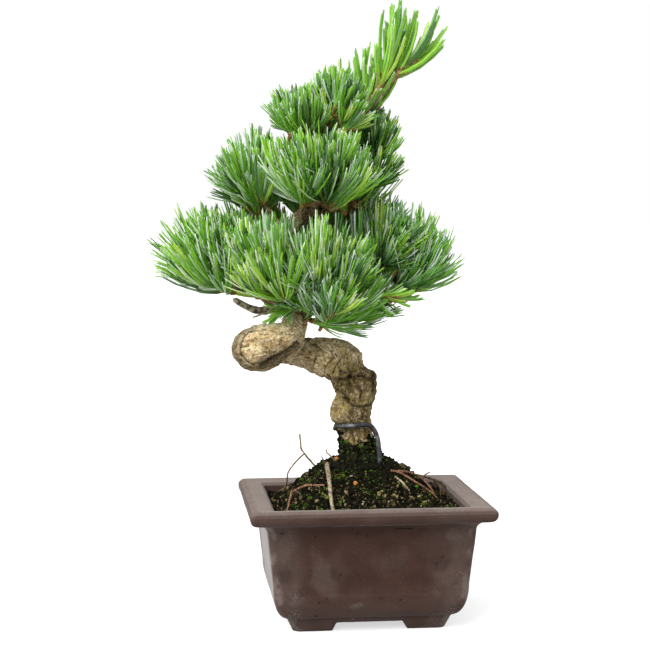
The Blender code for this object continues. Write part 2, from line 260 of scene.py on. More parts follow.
def grid_quads(rows: int, columns: int) -> Array:
    """Corner numbers of the quads between rings of points stored one after another.

    Args:
        rows: number of rings.
        columns: points in a ring.

    Returns:
        Four point numbers for each quad.
    """
    row, column = np.meshgrid(np.arange(rows - 1), np.arange(columns), indexing="ij")
    here = row * columns + column
    beside = row * columns + (column + 1) % columns
    return np.stack([here, beside, beside + columns, here + columns], axis=-1).reshape(-1, 4)


@dataclass
class Surface:
    """Points and faces of one mesh, with a slot for each face and marks at its points."""

    points: Array
    faces: list[Array]
    slots: list[Array]
    marks: dict[str, Array] = field(default_factory=dict)

    @staticmethod
    def joined(surfaces: list["Surface"]) -> "Surface":
        """Sets several surfaces side by side in one.

        Args:
            surfaces: what is joined, all with the same marks.

        Returns:
            One surface.
        """
        starts = np.cumsum([0] + [len(s.points) for s in surfaces])
        faces = [block + start for s, start in zip(surfaces, starts) for block in s.faces]
        slots = [block for s in surfaces for block in s.slots]
        marks = {name: np.concatenate([s.marks[name] for s in surfaces]) for name in surfaces[0].marks}
        return Surface(np.vstack([s.points for s in surfaces]), faces, slots, marks)

    def piece(self, name: str, finishes: list[Material], smooth: bool = True) -> bpy.types.Object:
        """Puts the arrays into a mesh and its object into the scene, riding on the plant's body.

        Args:
            name: the piece's name.
            finishes: materials in the order of the slots.
            smooth: whether it is shaded as one round surface.

        Returns:
            The object, at the origin.
        """
        mesh = bpy.data.meshes.new(name)
        mesh.vertices.add(len(self.points))
        mesh.vertices.foreach_set("co", (self.points + PLANT_PLACE).astype(np.float32).ravel())
        corners = np.concatenate([block.ravel() for block in self.faces]).astype(np.int32)
        sizes = np.concatenate([np.full(len(block), block.shape[1]) for block in self.faces])
        mesh.loops.add(len(corners))
        mesh.polygons.add(len(sizes))
        mesh.polygons.foreach_set("loop_start", (np.cumsum(sizes) - sizes).astype(np.int32))
        mesh.polygons.foreach_set("vertices", corners)
        mesh.polygons.foreach_set("material_index", np.concatenate(self.slots).astype(np.int32))
        mesh.polygons.foreach_set("use_smooth", np.full(len(sizes), smooth))
        for mark, values in self.marks.items():
            layer = mesh.attributes.new(mark, "FLOAT", "POINT")
            layer.data.foreach_set("value", values.astype(np.float32))
        mesh.update(calc_edges=True)
        for finish in finishes:
            mesh.materials.append(finish)
        piece = linked(name, mesh)
        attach(piece, "root")
        log.info("%s: %d triangles", name, np.sum(sizes - 2))
        return piece


def closed_skins(rings: Array, ends: Array, slot: int = 0) -> Surface:
    """Closed skins over rings of points, each drawn to one point at its two ends.

    Args:
        rings: n by rows by columns by 3, anticlockwise seen from the last row.
        ends: the two closing points, n by 2 by 3.
        slot: the slot of all faces.

    Returns:
        One surface.
    """
    count, rows, columns = rings.shape[:3]
    pole, top = rows * columns, (rows - 1) * columns
    here = np.arange(columns)
    beside = (here + 1) % columns
    low = np.stack([beside, here, np.full(columns, pole)], axis=-1)
    high = np.stack([top + here, top + beside, np.full(columns, pole + 1)], axis=-1)
    starts = (np.arange(count) * (pole + 2))[:, None, None]
    quads = (grid_quads(rows, columns) + starts).reshape(-1, 4)
    caps = (np.vstack([low, high]) + starts).reshape(-1, 3)
    points = np.concatenate([rings.reshape(count, -1, 3), ends], axis=1).reshape(-1, 3)
    return Surface(points, [quads, caps], [np.full(len(quads), slot), np.full(len(caps), slot)])


def limbs(paths: Array, radii: Array, sides: int, slot: int = 0) -> Surface:
    """Many round limbs of the same count of stations at once.

    Formula: the path's point plus the radius times the cosine and sine of the angle, square to the
    tangent.

    Args:
        paths: stations, n by s by 3.
        radii: radius at each, n by s.
        sides: points in each ring.
        slot: the slot of all faces.

    Returns:
        One surface.
    """
    tangents = unit(np.gradient(paths, axis=1))
    lean = np.abs(tangents.mean(axis=1))
    reference = np.eye(3)[np.argmin(lean, axis=1)][:, None, :]
    across = unit(reference - (reference * tangents).sum(-1, keepdims=True) * tangents)
    over = np.cross(tangents, across)
    angle = np.linspace(0, TURN, sides, endpoint=False)
    ring = circle(angle, across[:, :, None], over[:, :, None])
    rings = paths[:, :, None] + radii[:, :, None, None] * ring
    ends = np.stack([paths[:, 0], paths[:, -1] + tangents[:, -1] * radii[:, -1, None]], axis=1)
    return closed_skins(rings, ends, slot)


# Finishes

class Recipe:
    """A node tree being written: a material's, or a shader group's."""

    def __init__(self, tree: bpy.types.NodeTree) -> None:
        """Empties the tree, so that it holds only what is added."""
        self.tree = tree
        tree.nodes.clear()

    def add(self, kind: str, settings: dict | None = None, **inputs: object) -> bpy.types.Node:
        """Adds a node.

        Args:
            kind: its type, without the word ShaderNode.
            settings: its properties.
            inputs: values or outputs for its inputs, spaces in their names as underscores.

        Returns:
            The node.
        """
        node = self.tree.nodes.new(kind if kind.startswith("NodeGroup") else "ShaderNode" + kind)
        for name, value in (settings or {}).items():
            setattr(node, name, value)
        for name, value in inputs.items():
            self.feed(node.inputs[name.replace("_", " ")], value)
        return node

    def feed(self, socket: bpy.types.NodeSocket, value: object) -> None:
        """Links an output to a socket, or sets the socket's own value.

        Args:
            socket: the input.
            value: an output socket, a number or a colour.
        """
        if isinstance(value, bpy.types.NodeSocket):
            self.tree.links.new(value, socket)
        elif socket.type == "RGBA" and len(value) == 3:
            socket.default_value = (*value, 1.0)
        else:
            socket.default_value = value

    def group(self, made: bpy.types.NodeTree, **inputs: object) -> bpy.types.NodeOutputs:
        """Places a shader group, its inputs given like those of any node, and gives its outputs."""
        return self.add("Group", {"node_tree": made}, **inputs).outputs

    def mix(self, mask: object, low: object, high: object) -> bpy.types.NodeSocket:
        """The colour low where the mask is 0 and high where it is 1.

        Args:
            mask: an output or a number.
            low: an output or a colour.
            high: an output or a colour.

        Returns:
            The colour's output.
        """
        node = self.add("Mix", {"data_type": "RGBA"})
        for index, value in ((0, mask), (6, low), (7, high)):
            self.feed(node.inputs[index], value)
        return node.outputs[2]

    def times(self, first: object, second: object) -> bpy.types.NodeSocket:
        """The product of two values, kept between 0 and 1.

        Args:
            first: an output or a number.
            second: an output or a number.

        Returns:
            The output.
        """
        node = self.add("Math", {"operation": "MULTIPLY", "use_clamp": True})
        self.feed(node.inputs[0], first)
        self.feed(node.inputs[1], second)
        return node.outputs[0]

    def ranged(self, value: object, low: float, high: float, to_low: float = 0.0,
               to_high: float = 1.0) -> bpy.types.NodeSocket:
        """A value carried from one range to another along a smooth step.

        Args:
            value: the output that is read.
            low: start of its range.
            high: end of its range.
            to_low: what low becomes.
            to_high: what high becomes.

        Returns:
            The output.
        """
        node = self.add("MapRange", {"interpolation_type": "SMOOTHSTEP"}, Value=value)
        for name, number in (("From Min", low), ("From Max", high), ("To Min", to_low), ("To Max", to_high)):
            node.inputs[name].default_value = number
        return node.outputs[0]

    def mark(self, name: str) -> bpy.types.NodeSocket:
        """The value of one of the piece's marks."""
        return self.add("Attribute", {"attribute_name": name}).outputs["Fac"]


@dataclass(frozen=True)
class ShaderGroups:
    """The effects that several finishes share, each built once as a shader group."""

    mottle: bpy.types.NodeTree
    specks: bpy.types.NodeTree

    @classmethod
    def build(cls) -> "ShaderGroups":
        """Builds every group."""
        return cls(cls.build_mottle(), cls.build_specks())

    @staticmethod
    def started(name: str, inputs: dict[str, float], outputs: tuple[str, ...]) -> Recipe:
        """An empty shader group with named sockets.

        Args:
            name: the group's name.
            inputs: each input's name and usual value.
            outputs: names of the outputs.

        Returns:
            Its recipe.
        """
        tree = bpy.data.node_groups.new(name, "ShaderNodeTree")
        for socket, value in inputs.items():
            made = tree.interface.new_socket(name=socket, in_out="INPUT", socket_type="NodeSocketFloat")
            made.default_value = value
        for socket in outputs:
            tree.interface.new_socket(name=socket, in_out="OUTPUT", socket_type="NodeSocketFloat")
        return Recipe(tree)

    @classmethod
    def build_mottle(cls) -> bpy.types.NodeTree:
        """Cloudy variation: fractal noise stretched to a mask between two levels.

        Returns:
            The tree.
        """
        usual = {"Scale": 200.0, "Detail": 4.0, "Low": 0.35, "High": 0.65}
        recipe = cls.started("mottle", usual, ("Mask", "Height"))
        given = recipe.add("NodeGroupInput").outputs
        place = recipe.add("TexCoord").outputs["Object"]
        noise = recipe.add("TexNoise", None, Vector=place, Scale=given["Scale"], Detail=given["Detail"],
                           Roughness=0.6)
        spread = recipe.add("MapRange", {"interpolation_type": "SMOOTHSTEP"}, Value=noise.outputs[0],
                            From_Min=given["Low"], From_Max=given["High"])
        recipe.add("NodeGroupOutput", None, Mask=spread.outputs[0], Height=noise.outputs[0])
        return recipe.tree

    @classmethod
    def build_specks(cls) -> bpy.types.NodeTree:
        """Round specks: 1 near a random point of each cell, falling to 0 beyond the size given.

        Returns:
            The tree.
        """
        recipe = cls.started("specks", {"Scale": 300.0, "Size": 0.2, "Softness": 0.1}, ("Mask",))
        given = recipe.add("NodeGroupInput").outputs
        place = recipe.add("TexCoord").outputs["Object"]
        cells = recipe.add("TexVoronoi", None, Vector=place, Scale=given["Scale"])
        outer = recipe.add("Math", {"operation": "ADD"})
        recipe.feed(outer.inputs[0], given["Size"])
        recipe.feed(outer.inputs[1], given["Softness"])
        spread = recipe.add("MapRange", {"interpolation_type": "SMOOTHSTEP"}, Value=cells.outputs["Distance"],
                            From_Min=given["Size"], From_Max=outer.outputs[0], To_Min=1.0, To_Max=0.0)
        recipe.add("NodeGroupOutput", None, Mask=spread.outputs[0])
        return recipe.tree


def dress(name: str, colour: object, roughness: object, height: object, strength: float,
          depth: float, recipe: Recipe, **fixed: object) -> None:
    """Closes a material's tree with its shader and its bump.

    Args:
        name: the shader's label.
        colour: the base colour.
        roughness: an output or value.
        height: what the bump reads.
        strength: the bump's strength.
        depth: its depth in metres.
        recipe: the tree.
        fixed: further values of the shader.
    """
    bump = recipe.add("Bump", None, Height=height, Strength=strength, Distance=depth)
    shader = recipe.add("BsdfPrincipled", {"label": name}, Base_Color=colour, Roughness=roughness,
                        Normal=bump.outputs[0], **fixed)
    recipe.add("OutputMaterial", None, Surface=shader.outputs[0])


def blank_material(name: str) -> tuple[Material, Recipe]:
    """A new material and the recipe that writes its tree.

    Args:
        name: the material's name.

    Returns:
        The material and the recipe.
    """
    material = bpy.data.materials.new(name)
    material.use_nodes = True
    return material, Recipe(material.node_tree)


@dataclass(frozen=True)
class Clay:
    """Unglazed brown clay, dry and slightly chalky, with a greyer bloom where water has dried and painted
    sheen and highlights.

    Polish is the roughness of the thin skin that handling has left on the short sides.
    """

    deep: Colour = (0.042, 0.0190, 0.0135)
    light: Colour = (0.055, 0.0262, 0.0195)
    # Also the colour of the painted sheen on the short sides and the painted highlight on the upright
    # corners.
    bloom: Colour = (0.265, 0.222, 0.198)
    # Also the colour of the painted shade on the inner wall of the mouth.
    damp: Colour = (0.020, 0.0095, 0.0075)
    pit: Colour = (0.008, 0.006, 0.005)
    crust: Colour = (0.52, 0.48, 0.44)
    polish: float = 0.24

    def build(self, groups: ShaderGroups) -> Material:
        """Mixes the two browns, then bloom with painted sheen, damp with painted shade, crust and pits by the
        pot's marks.

        Args:
            groups: the shader groups.

        Returns:
            The material.
        """
        material, recipe = blank_material("clay")
        cloud = recipe.group(groups.mottle, Scale=85.0, Detail=5.0, Low=0.36, High=0.68)
        fine = recipe.group(groups.mottle, Scale=1100.0, Detail=3.0, Low=0.40, High=0.62)
        grit = recipe.group(groups.specks, Scale=1150.0, Size=0.13, Softness=0.14)
        grain = recipe.group(groups.specks, Scale=900.0, Size=0.07, Softness=0.10)
        colour = recipe.mix(cloud["Mask"], self.deep, self.light)
        colour = recipe.mix(recipe.times(grain["Mask"], 0.30), colour, self.bloom)
        dust = recipe.ranged(fine["Height"], 0.30, 0.62, 0.62, 1.0)
        # Bloom, with painted sheen on the short sides and a painted highlight on the upright corners.
        colour = recipe.mix(recipe.times(recipe.mark("bloom"), dust), colour, self.bloom)
        # Damp smudges, and painted shade on the inner wall of the mouth.
        colour = recipe.mix(recipe.mark("damp"), colour, self.damp)
        crust = recipe.times(recipe.mark("crust"), grit["Mask"])
        colour = recipe.mix(crust, colour, self.crust)
        colour = recipe.mix(recipe.mark("pit"), colour, self.pit)
        rough = recipe.ranged(cloud["Height"], 0.3, 0.7, 0.66, 0.82)
        dress("clay", colour, rough, fine["Height"], 0.30, 0.0003, recipe, Specular_IOR_Level=0.14,
              Coat_Weight=recipe.mark("polish"), Coat_Roughness=self.polish, Coat_IOR=1.7,
              Sheen_Weight=0.16, Sheen_Roughness=0.40, Sheen_Tint=(1.0, 0.90, 0.84))
        return material


@dataclass(frozen=True)
class Bark:
    """Flaky bark, dark in shaded hollows and beige where it is rubbed, with lichen and moss."""

    name: str = "bark"
    dark: Colour = (0.088, 0.054, 0.021)
    pale: Colour = (0.800, 0.575, 0.275)
    shade: Colour = (0.060, 0.036, 0.014)
    worn: Colour = (0.970, 0.830, 0.560)
    # Also paints the shade in the creases and in the rolled lip's hollow.
    crack: Colour = (0.012, 0.007, 0.003)
    lichen: Colour = (0.560, 0.450, 0.150)
    moss: Colour = (0.013, 0.015, 0.006)
    tuft: Colour = (0.045, 0.070, 0.014)

    def build(self, groups: ShaderGroups) -> Material:
        """Mixes the bark's colours by the marks of the limb it covers.

        Args:
            groups: the shader groups.

        Returns:
            The material.
        """
        material, recipe = blank_material(self.name)
        cloud = recipe.group(groups.mottle, Scale=240.0, Detail=6.0, Low=0.47, High=0.66)
        fine = recipe.group(groups.mottle, Scale=720.0, Detail=6.0, Low=0.52, High=0.61)
        fleck = recipe.group(groups.mottle, Scale=520.0, Detail=6.0, Low=0.51, High=0.62)
        grit = recipe.group(groups.mottle, Scale=1300.0, Detail=4.0, Low=0.53, High=0.62)
        tone = recipe.mark("tone")
        plate = recipe.mark("pale")
        colour = recipe.mix(tone, self.dark, self.pale)
        streak = recipe.mark("streak")
        lit = recipe.times(tone, recipe.ranged(plate, 0.50, 0.80))
        rubbed = recipe.times(tone, recipe.ranged(streak, 0.45, 0.85))
        flecked = recipe.times(recipe.ranged(tone, 0.0, 1.0, 0.35, 0.75), fleck["Mask"])
        crusted = recipe.times(recipe.mark("lichen"), recipe.ranged(cloud["Height"], 0.44, 0.60))
        moss = recipe.mix(recipe.times(fleck["Mask"], 0.5), self.moss, self.tuft)
        layers = (
            (lit, 0.60, self.worn), (rubbed, 0.70, self.worn), (flecked, 1.0, self.worn),
            (crusted, 1.0, self.lichen),
            (recipe.ranged(plate, 0.40, 0.15), 0.35, self.shade), (cloud["Mask"], 0.32, self.shade),
            (recipe.ranged(streak, 0.42, 0.16), 0.68, self.shade), (fine["Mask"], 0.66, self.shade),
            (grit["Mask"], 0.40, self.shade),
            (recipe.mark("moss"), 1.0, moss), (recipe.mark("crack"), 1.0, self.crack),
        )
        for mask, strength, over in layers:
            colour = recipe.mix(recipe.times(mask, strength), colour, over)
        dress(self.name, colour, 0.9, fine["Height"], 1.0, 0.0013, recipe, Specular_IOR_Level=0.10)
        return material


@dataclass(frozen=True)
class Mottled:
    """A dull finish of two colours in soft patches, for grains, twigs, roots, buds and needles."""

    name: str
    low: Colour
    high: Colour
    scale: float = 500.0
    roughness: float = 0.85
    depth: float = 0.0002
    gloss: float = 0.2

    def build(self, groups: ShaderGroups) -> Material:
        """Mixes the two colours by cloudy noise, which also raises the bump.

        Args:
            groups: the shader groups.

        Returns:
            The material.
        """
        material, recipe = blank_material(self.name)
        cloud = recipe.group(groups.mottle, Scale=self.scale, Detail=3.0, Low=0.36, High=0.64)
        colour = recipe.mix(cloud["Mask"], self.low, self.high)
        dress(self.name, colour, self.roughness, cloud["Height"], 0.4, self.depth, recipe,
              Specular_IOR_Level=self.gloss)
        return material


@dataclass(frozen=True)
class DullWire:
    """Weathered aluminium training wire, dark grey with paler rubbed patches."""

    dark: Colour = (0.030, 0.031, 0.033)
    rubbed: Colour = (0.180, 0.185, 0.190)

    def build(self, groups: ShaderGroups) -> Material:
        """Mixes the two greys by cloudy noise.

        Args:
            groups: the shader groups.

        Returns:
            The material.
        """
        material, recipe = blank_material("wire")
        cloud = recipe.group(groups.mottle, Scale=260.0, Detail=4.0, Low=0.48, High=0.74)
        colour = recipe.mix(cloud["Mask"], self.dark, self.rubbed)
        rough = recipe.ranged(cloud["Height"], 0.3, 0.7, 0.62, 0.42)
        dress("wire", colour, rough, cloud["Height"], 0.2, 0.0002, recipe, Metallic=0.35)
        return material


# The pot

@dataclass(frozen=True)
class Patch:
    """A soft elliptic patch on the pot's front, in millimetres, its long axis turned by some degrees."""

    x: float
    z: float
    half_long: float
    half_short: float
    turn: float = 0.0
    strength: float = 1.0

    def mask(self, x: Array, z: Array, ragged: Array) -> Array:
        """How strong the patch is at each place.

        Formula: the distance from the middle in half sizes, made uneven by noise, falls off along a
        smooth step.

        Args:
            x: places along X.
            z: heights.
            ragged: noise at those places.

        Returns:
            Values up to the patch's strength.
        """
        turn = math.radians(self.turn)
        right, up = x - self.x * MM, z - self.z * MM
        along = (right * math.cos(turn) + up * math.sin(turn)) / (self.half_long * MM)
        across = (up * math.cos(turn) - right * math.sin(turn)) / (self.half_short * MM)
        return self.strength * (1 - smooth_step(0.35, 1.25, np.hypot(along, across) + ragged))


@dataclass
class Pot:
    """A rectangular clay pot with a rolled rim, a belly, sunk panels, and arches between its four feet.

    A profile of half lengths and heights is carried round a rectangle with round corners. The
    half depth along Y is less than the half length along X by depth_less.
    """

    depth_less: float = 0.0088
    middle: Pair = (0.0, 0.0022)
    foot_half: float = 0.0418
    foot_top_half: float = 0.0449
    foot_height: float = 0.0068
    belly_middle: Pair = (0.0455, 0.0260)
    belly_radii: Pair = (0.0078, 0.0180)
    wall_top: Pair = (0.0564, 0.0545)
    cove_middle: Pair = (0.0625, 0.0562)
    cove_radii: Pair = (0.0060, 0.0054)
    rim_middle: Pair = (0.0625, 0.0656)
    rim_radii: Pair = (0.0036, 0.0040)
    rim_inner: tuple[Pair, ...] = ((0.0536, 0.0685), (0.0522, 0.0668))
    cavity: tuple[Pair, ...] = ((0.0500, 0.0560), (0.0472, 0.0260), (0.0440, 0.0150))
    long_arch: Place = (0.0210, 0.0178, 0.0044)
    short_arch: Place = (0.0125, 0.0095, 0.0044)
    corner: float = 0.0045
    rim_corner: float = 0.0024
    edge_steps: tuple[int, int] = (119, 99)
    corner_steps: int = 10
    panels: tuple[Place, ...] = ((43.0, 28.0, 46.0), (35.2, 21.7, 51.2))
    panel_depth: float = 0.00045
    rim_foot: float = 0.0612
    rim_ridge: float = 0.0671
    pits: tuple[Pair, ...] = (
        (-49.1, 56.9), (-31, 54.3), (-3.7, 54.8), (-8.5, 56), (34.5, 37.9), (37.5, 41.9), (-29, 18.1),
        (-24.6, 20.5), (4.5, 19.7), (-17.6, 33.5), (15, 18.3), (-30, 10.1),
    )
    blooms: tuple[Patch, ...] = (
        Patch(-27.3, 33, 15, 7, -66, 0.15), Patch(40.5, 33, 14, 9, 70, 0.16),
        Patch(-42.5, 20, 7, 6, 0, 0.24), Patch(46, 53.5, 8.5, 4.5, 10, 0.22),
        Patch(-8.5, 15.9, 3.2, 1.2, 15, 0.24), Patch(-47.5, 47, 9, 6, 60, 0.2),
        Patch(12, 40, 14, 6, 20, 0.06), Patch(50, 22, 8, 5, 80, 0.2),
    )
    damps: tuple[Patch, ...] = (
        Patch(-46.8, 33.2, 5.6, 4.8, 0, 0.4), Patch(-38.3, 24, 4.6, 2.6, 80, 0.34),
        Patch(38.3, 37.8, 6.2, 4.4, 30, 0.4), Patch(44, 14, 6, 3, 0, 0.3),
    )
    crusts: tuple[Patch, ...] = (
        Patch(-42, 9.5, 4, 5, 0, 0.9), Patch(43, 12.5, 4, 6, 0, 0.8), Patch(51, 31, 3, 9, 80, 0.5),
        Patch(-41, 21, 5, 5, 0, 0.5),
    )

    def outline(self) -> Array:
        """The outer profile from the foot to the inner edge of the rim, closely spaced.

        Returns:
            Half lengths along X and heights.
        """
        def arc(middle: Pair, radii: Pair, first: float, last: float,
                steps: int) -> Array:
            """Points on an elliptic arc between two angles in degrees."""
            angle = np.radians(np.linspace(first, last, steps + 1))
            return np.array(middle) + np.array(radii) * spokes(angle)

        parts = [
            [(self.foot_half, 0.0), (self.foot_top_half, self.foot_height)],
            arc(self.belly_middle, self.belly_radii, -90, 0, 24),
            [self.wall_top],
            arc(self.cove_middle, self.cove_radii, 180, 90, 12),
            arc(self.rim_middle, self.rim_radii, -90, 90, 24)[1:],
            self.rim_inner,
            self.cavity[:1],
        ]
        corners = np.vstack(parts)
        length = distances(corners)
        even = np.linspace(0, length[-1], int(length[-1] / 0.00092))
        every = np.unique(np.concatenate([even, length]))
        return np.stack([np.interp(every, length, corners[:, k]) for k in (0, 1)], axis=-1)

    def ring(self, half: Array, share: float = 1.0, corner: Array | None = None) -> Array:
        """Rings of a rectangle with round corners, anticlockwise seen from above.

        Formula: each corner is a quarter circle, and straight sides are spread evenly between their
        ends.

        Args:
            half: half length along X of each ring.
            share: how far it is from its middle.
            corner: radius of its corners, or None for the wall's own.

        Returns:
            Points, rings by points by 2, about the pot's middle.
        """
        half = np.asarray(half, float)[:, None]
        radius = self.corner if corner is None else np.asarray(corner, float)[:, None]
        sign_x = np.array([1, -1, -1, 1])
        sign_y = np.array([1, 1, -1, -1])
        pieces = []
        for quarter in range(4):
            angle = math.pi / 2 * (quarter + np.linspace(0, 1, self.corner_steps + 1))
            x = sign_x[quarter] * (half - radius) + radius * np.cos(angle)
            y = sign_y[quarter] * (half - self.depth_less - radius) + radius * np.sin(angle)
            pieces.append(np.stack([x, y], axis=-1))
        around = []
        for quarter, piece in enumerate(pieces):
            following = pieces[(quarter + 1) % 4]
            steps = self.edge_steps[quarter % 2]
            t = np.linspace(0, 1, steps + 2)[None, 1:-1, None]
            around += [piece, piece[:, -1:] * (1 - t) + following[:, :1] * t]
        return share * np.concatenate(around, axis=1)

    def arch_height(self, x: Array, y: Array) -> Array:
        """How high the underside stands: zero at the feet, the arch's height between.

        Args:
            x: places along X from the pot's middle.
            y: places along Y.

        Returns:
            Heights.
        """
        heights = []
        for across, (low, top, height) in ((x, self.long_arch), (y, self.short_arch)):
            heights.append(height * (1 - smooth_step(top, low, np.abs(across))))
        return np.maximum(*heights)

    def skin(self) -> Array:
        """The outer skin before its relief: rings of the outline, lifted at the foot by the arches.

        Returns:
            Points, rings by points by 3, about the pot's middle.
        """
        outline = self.outline()
        rim = smooth_step(0.0560, 0.0630, outline[:, 1])
        plan = self.ring(outline[:, 0], corner=blend(self.corner, self.rim_corner, rim))
        z = np.repeat(outline[:, 1:2], plan.shape[1], axis=1)
        lift = self.arch_height(plan[..., 0], plan[..., 1])
        z = np.where(z < self.foot_height, lift + z * (1 - lift / self.foot_height), z)
        return np.concatenate([plan, z[..., None]], axis=-1)

    def sunk(self, across: Array, z: Array, less: Array) -> Array:
        """The share of the panel's depth at each place of a side.

        Formula: the greater of two soft-edged boxes, wide and low or narrow and tall, so that each
        corner steps in.

        Args:
            across: distance along the side from its middle.
            z: heights.
            less: how much narrower the side is than the long one.

        Returns:
            Values from 0 to 1.
        """
        soft = 0.0011
        shares = []
        for half_mm, low_mm, high_mm in self.panels:
            half = half_mm * MM - less
            box = 1 - smooth_step(-soft, soft, np.abs(across) - half)
            box = box * smooth_step(low_mm * MM - soft, low_mm * MM + soft, z)
            shares.append(box * (1 - smooth_step(high_mm * MM - soft, high_mm * MM + soft, z)))
        return np.maximum(*shares)

    def wear(self, skin: Array, outward: Array, edge_near: Array) -> dict[str, Array]:
        """Where the clay is chalky, damp, crusted or pitted, where handling has polished it, and where sheen,
        highlights and shade are painted.

        Args:
            skin: points of the outer skin.
            outward: its normals.
            edge_near: 1 at the upright edges, less along the sides.

        Returns:
            Values from 0 to 1 for each mark.
        """
        x, y, z = skin[..., 0], skin[..., 1], skin[..., 2]
        ragged = layered_noise(skin, 0.007, 61, 4)
        clouds = layered_noise(skin, 0.020, 21, 4)
        wall = 1 - smooth_step(0.060, 0.0625, z)
        front = y < 0
        mirrored = np.where(front, x, -x)
        seen = np.where(front, 1.0, 0.7) * wall
        blooms, damps, crusts = (
            np.maximum.reduce([patch.mask(mirrored, z, ragged) * seen for patch in patches])
            for patches in (self.blooms, self.damps, self.crusts))
        side = smooth_step(0.75, 0.97, np.abs(outward[..., 0])) * wall
        face = smooth_step(self.rim_foot, 0.0625, z) * (1 - smooth_step(0.0680, 0.0692, z))
        top = smooth_step(0.35, 0.85, outward[..., 2]) * smooth_step(0.0640, 0.0670, z)
        inner = 1 - smooth_step(0.0612, 0.0634, np.maximum(np.abs(x), np.abs(y) + self.depth_less))
        bloom = np.maximum.reduce([
            blooms,
            (0.08 * smooth_step(-0.1, 0.6, clouds) + 0.10 * (1 - smooth_step(0.006, 0.030, z))) * wall,
            # Painted highlight along the upright corners, together with their edge wear.
            0.55 * smooth_step(0.86, 1.0, edge_near) * wall * smooth_step(-0.3, 0.4, ragged),
            0.17 * smooth_step(0.15, 0.8, edge_near) * wall * (0.9 + 0.3 * ragged),
            # Painted sheen on the short sides, standing in for their grazing reflection.
            0.30 * side * (0.85 + 0.15 * clouds),
            0.35 * bell(z - self.rim_foot, 0.0005) * smooth_step(-0.2, 0.3, ragged),
            face * (0.05 + 0.12 * clouds),
            0.26 * bell(z - self.rim_ridge, 0.0005),
            top * (0.46 + 0.30 * inner + 0.14 * clouds + 0.12 * ragged),
        ])
        # Painted shade on the inner wall below the rim, where the mouth lies in shadow.
        painted_mouth_shade = (1 - smooth_step(0.0560, 0.0640, z)) * (outward[..., 2] > 0.2) * (z > 0.05)
        spread = 1 + 0.25 * lattice_noise(skin, 0.0008, 11)
        pit = np.maximum.reduce([
            1 - smooth_step(0.00030, 0.00075, np.hypot(mirrored - place_x * MM, z - place_z * MM) * spread)
            for place_x, place_z in self.pits])
        upright = 1 - smooth_step(0.30, 0.55, np.abs(outward[..., 2]))
        marks = {
            "bloom": bloom,
            # The damp mark also carries the painted shade of the mouth.
            "damp": np.maximum(damps, 0.5 * painted_mouth_shade),
            "crust": np.maximum(crusts, 0.3 * edge_near * smooth_step(0.1, 0.6, ragged) * wall),
            "polish": side * upright * (0.92 + 0.08 * clouds),
            "pit": pit * (np.abs(outward[..., 1]) > 0.5),
        }
        return {name: np.clip(values, 0, 1) for name, values in marks.items()}

    def build(self, clay: Material) -> None:
        """Makes the pot with its panels, wear, pits, bloom and painted sheen, highlights and shade.

        Args:
            clay: its finish.
        """
        skin = self.skin()
        half = self.outline()[:, None, 0]
        along = np.roll(skin, -1, axis=1) - np.roll(skin, 1, axis=1)
        outward = unit(np.cross(along, np.gradient(skin, axis=0)))
        x, y, z = np.abs(skin[..., 0]), np.abs(skin[..., 1]), skin[..., 2]
        long_side = y > half - self.depth_less - 0.001
        short_side = x > half - 0.001
        across = np.where(long_side, x, y)
        less = np.where(long_side, 0.0, self.depth_less)
        shift = -self.panel_depth * self.sunk(across, z, less) * (long_side | short_side)
        shift += 0.00020 * layered_noise(skin, 0.013, 3) + 0.00006 * layered_noise(skin, 0.0022, 5)
        rim_face = smooth_step(0.0622, 0.0640, z) * (outward[..., 2] < 0.9)
        shift += 0.00022 * rim_face * bell(z - self.rim_ridge, 0.0006)
        edge_near = 1 - smooth_step(0.0, 0.030, np.maximum(half - less - across, 0.0))
        marks = self.wear(skin, outward, edge_near)
        shift -= 0.0005 * marks["pit"]
        skin = skin + outward * shift[..., None]

        inner = np.array(self.cavity[1:])
        well = self.ring(inner[:, 0])
        depth = np.broadcast_to(inner[:, None, 1:], (*well.shape[:2], 1))
        well = np.concatenate([well, depth], axis=-1)
        shares = np.linspace(0.04, 1.0, 24)[:-1]
        under = np.concatenate([self.ring(np.array([self.foot_half]), share) for share in shares])
        under = np.concatenate([under, self.arch_height(under[..., 0], under[..., 1])[..., None]], axis=-1)
        rings = np.concatenate([under, skin, well])
        rings[..., :2] += np.array(self.middle)
        centre = np.array((*self.middle, 0.0))
        ends = np.stack([centre + UP * self.long_arch[2], centre + UP * inner[-1, 1]])
        surface = closed_skins(rings[None], ends[None])
        blank_under, blank_well = np.zeros(under.shape[:2]), np.zeros(well.shape[:2])
        for name, values in marks.items():
            every = np.concatenate([blank_under, values, blank_well]).ravel()
            surface.marks[name] = np.concatenate([every, [0.0, 0.0]])
        piece = surface.piece("pot_shell", [clay])
        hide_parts("pot")


# The wood

@dataclass(frozen=True)
class SprayStyle:
    """How the needles stand on a shoot. Lengths are in millimetres and angles in degrees.

    A shoot's bundles stand over its last part, the bearing. They open from wide at its back to
    narrow at its tip, and splay from tight in young bundles to loose in old ones. Lean and lift
    weigh the outward and the upward share of a shoot's aim, lowest is the least rise of a
    bundle, past is how far needles pass the mass's outline, and inward shifts the shoots
    towards the trunk. Loose is the share by which a needle outgrows that outline. Young and
    aged are the shares of the tints.
    """

    shoots: float
    bundles: int
    bearing: float
    lengths: Pair
    opening: Pair
    splay: Pair
    rise: Pair
    width: float
    lean: float
    lift: float
    lowest: float
    past: float
    inward: float
    loose: float = 0.0
    young: tuple[float, ...] = (0.09, 0.38, 0.31, 0.09, 0.13)
    aged: tuple[float, ...] = (0.32, 0.32, 0.11, 0.04, 0.21)


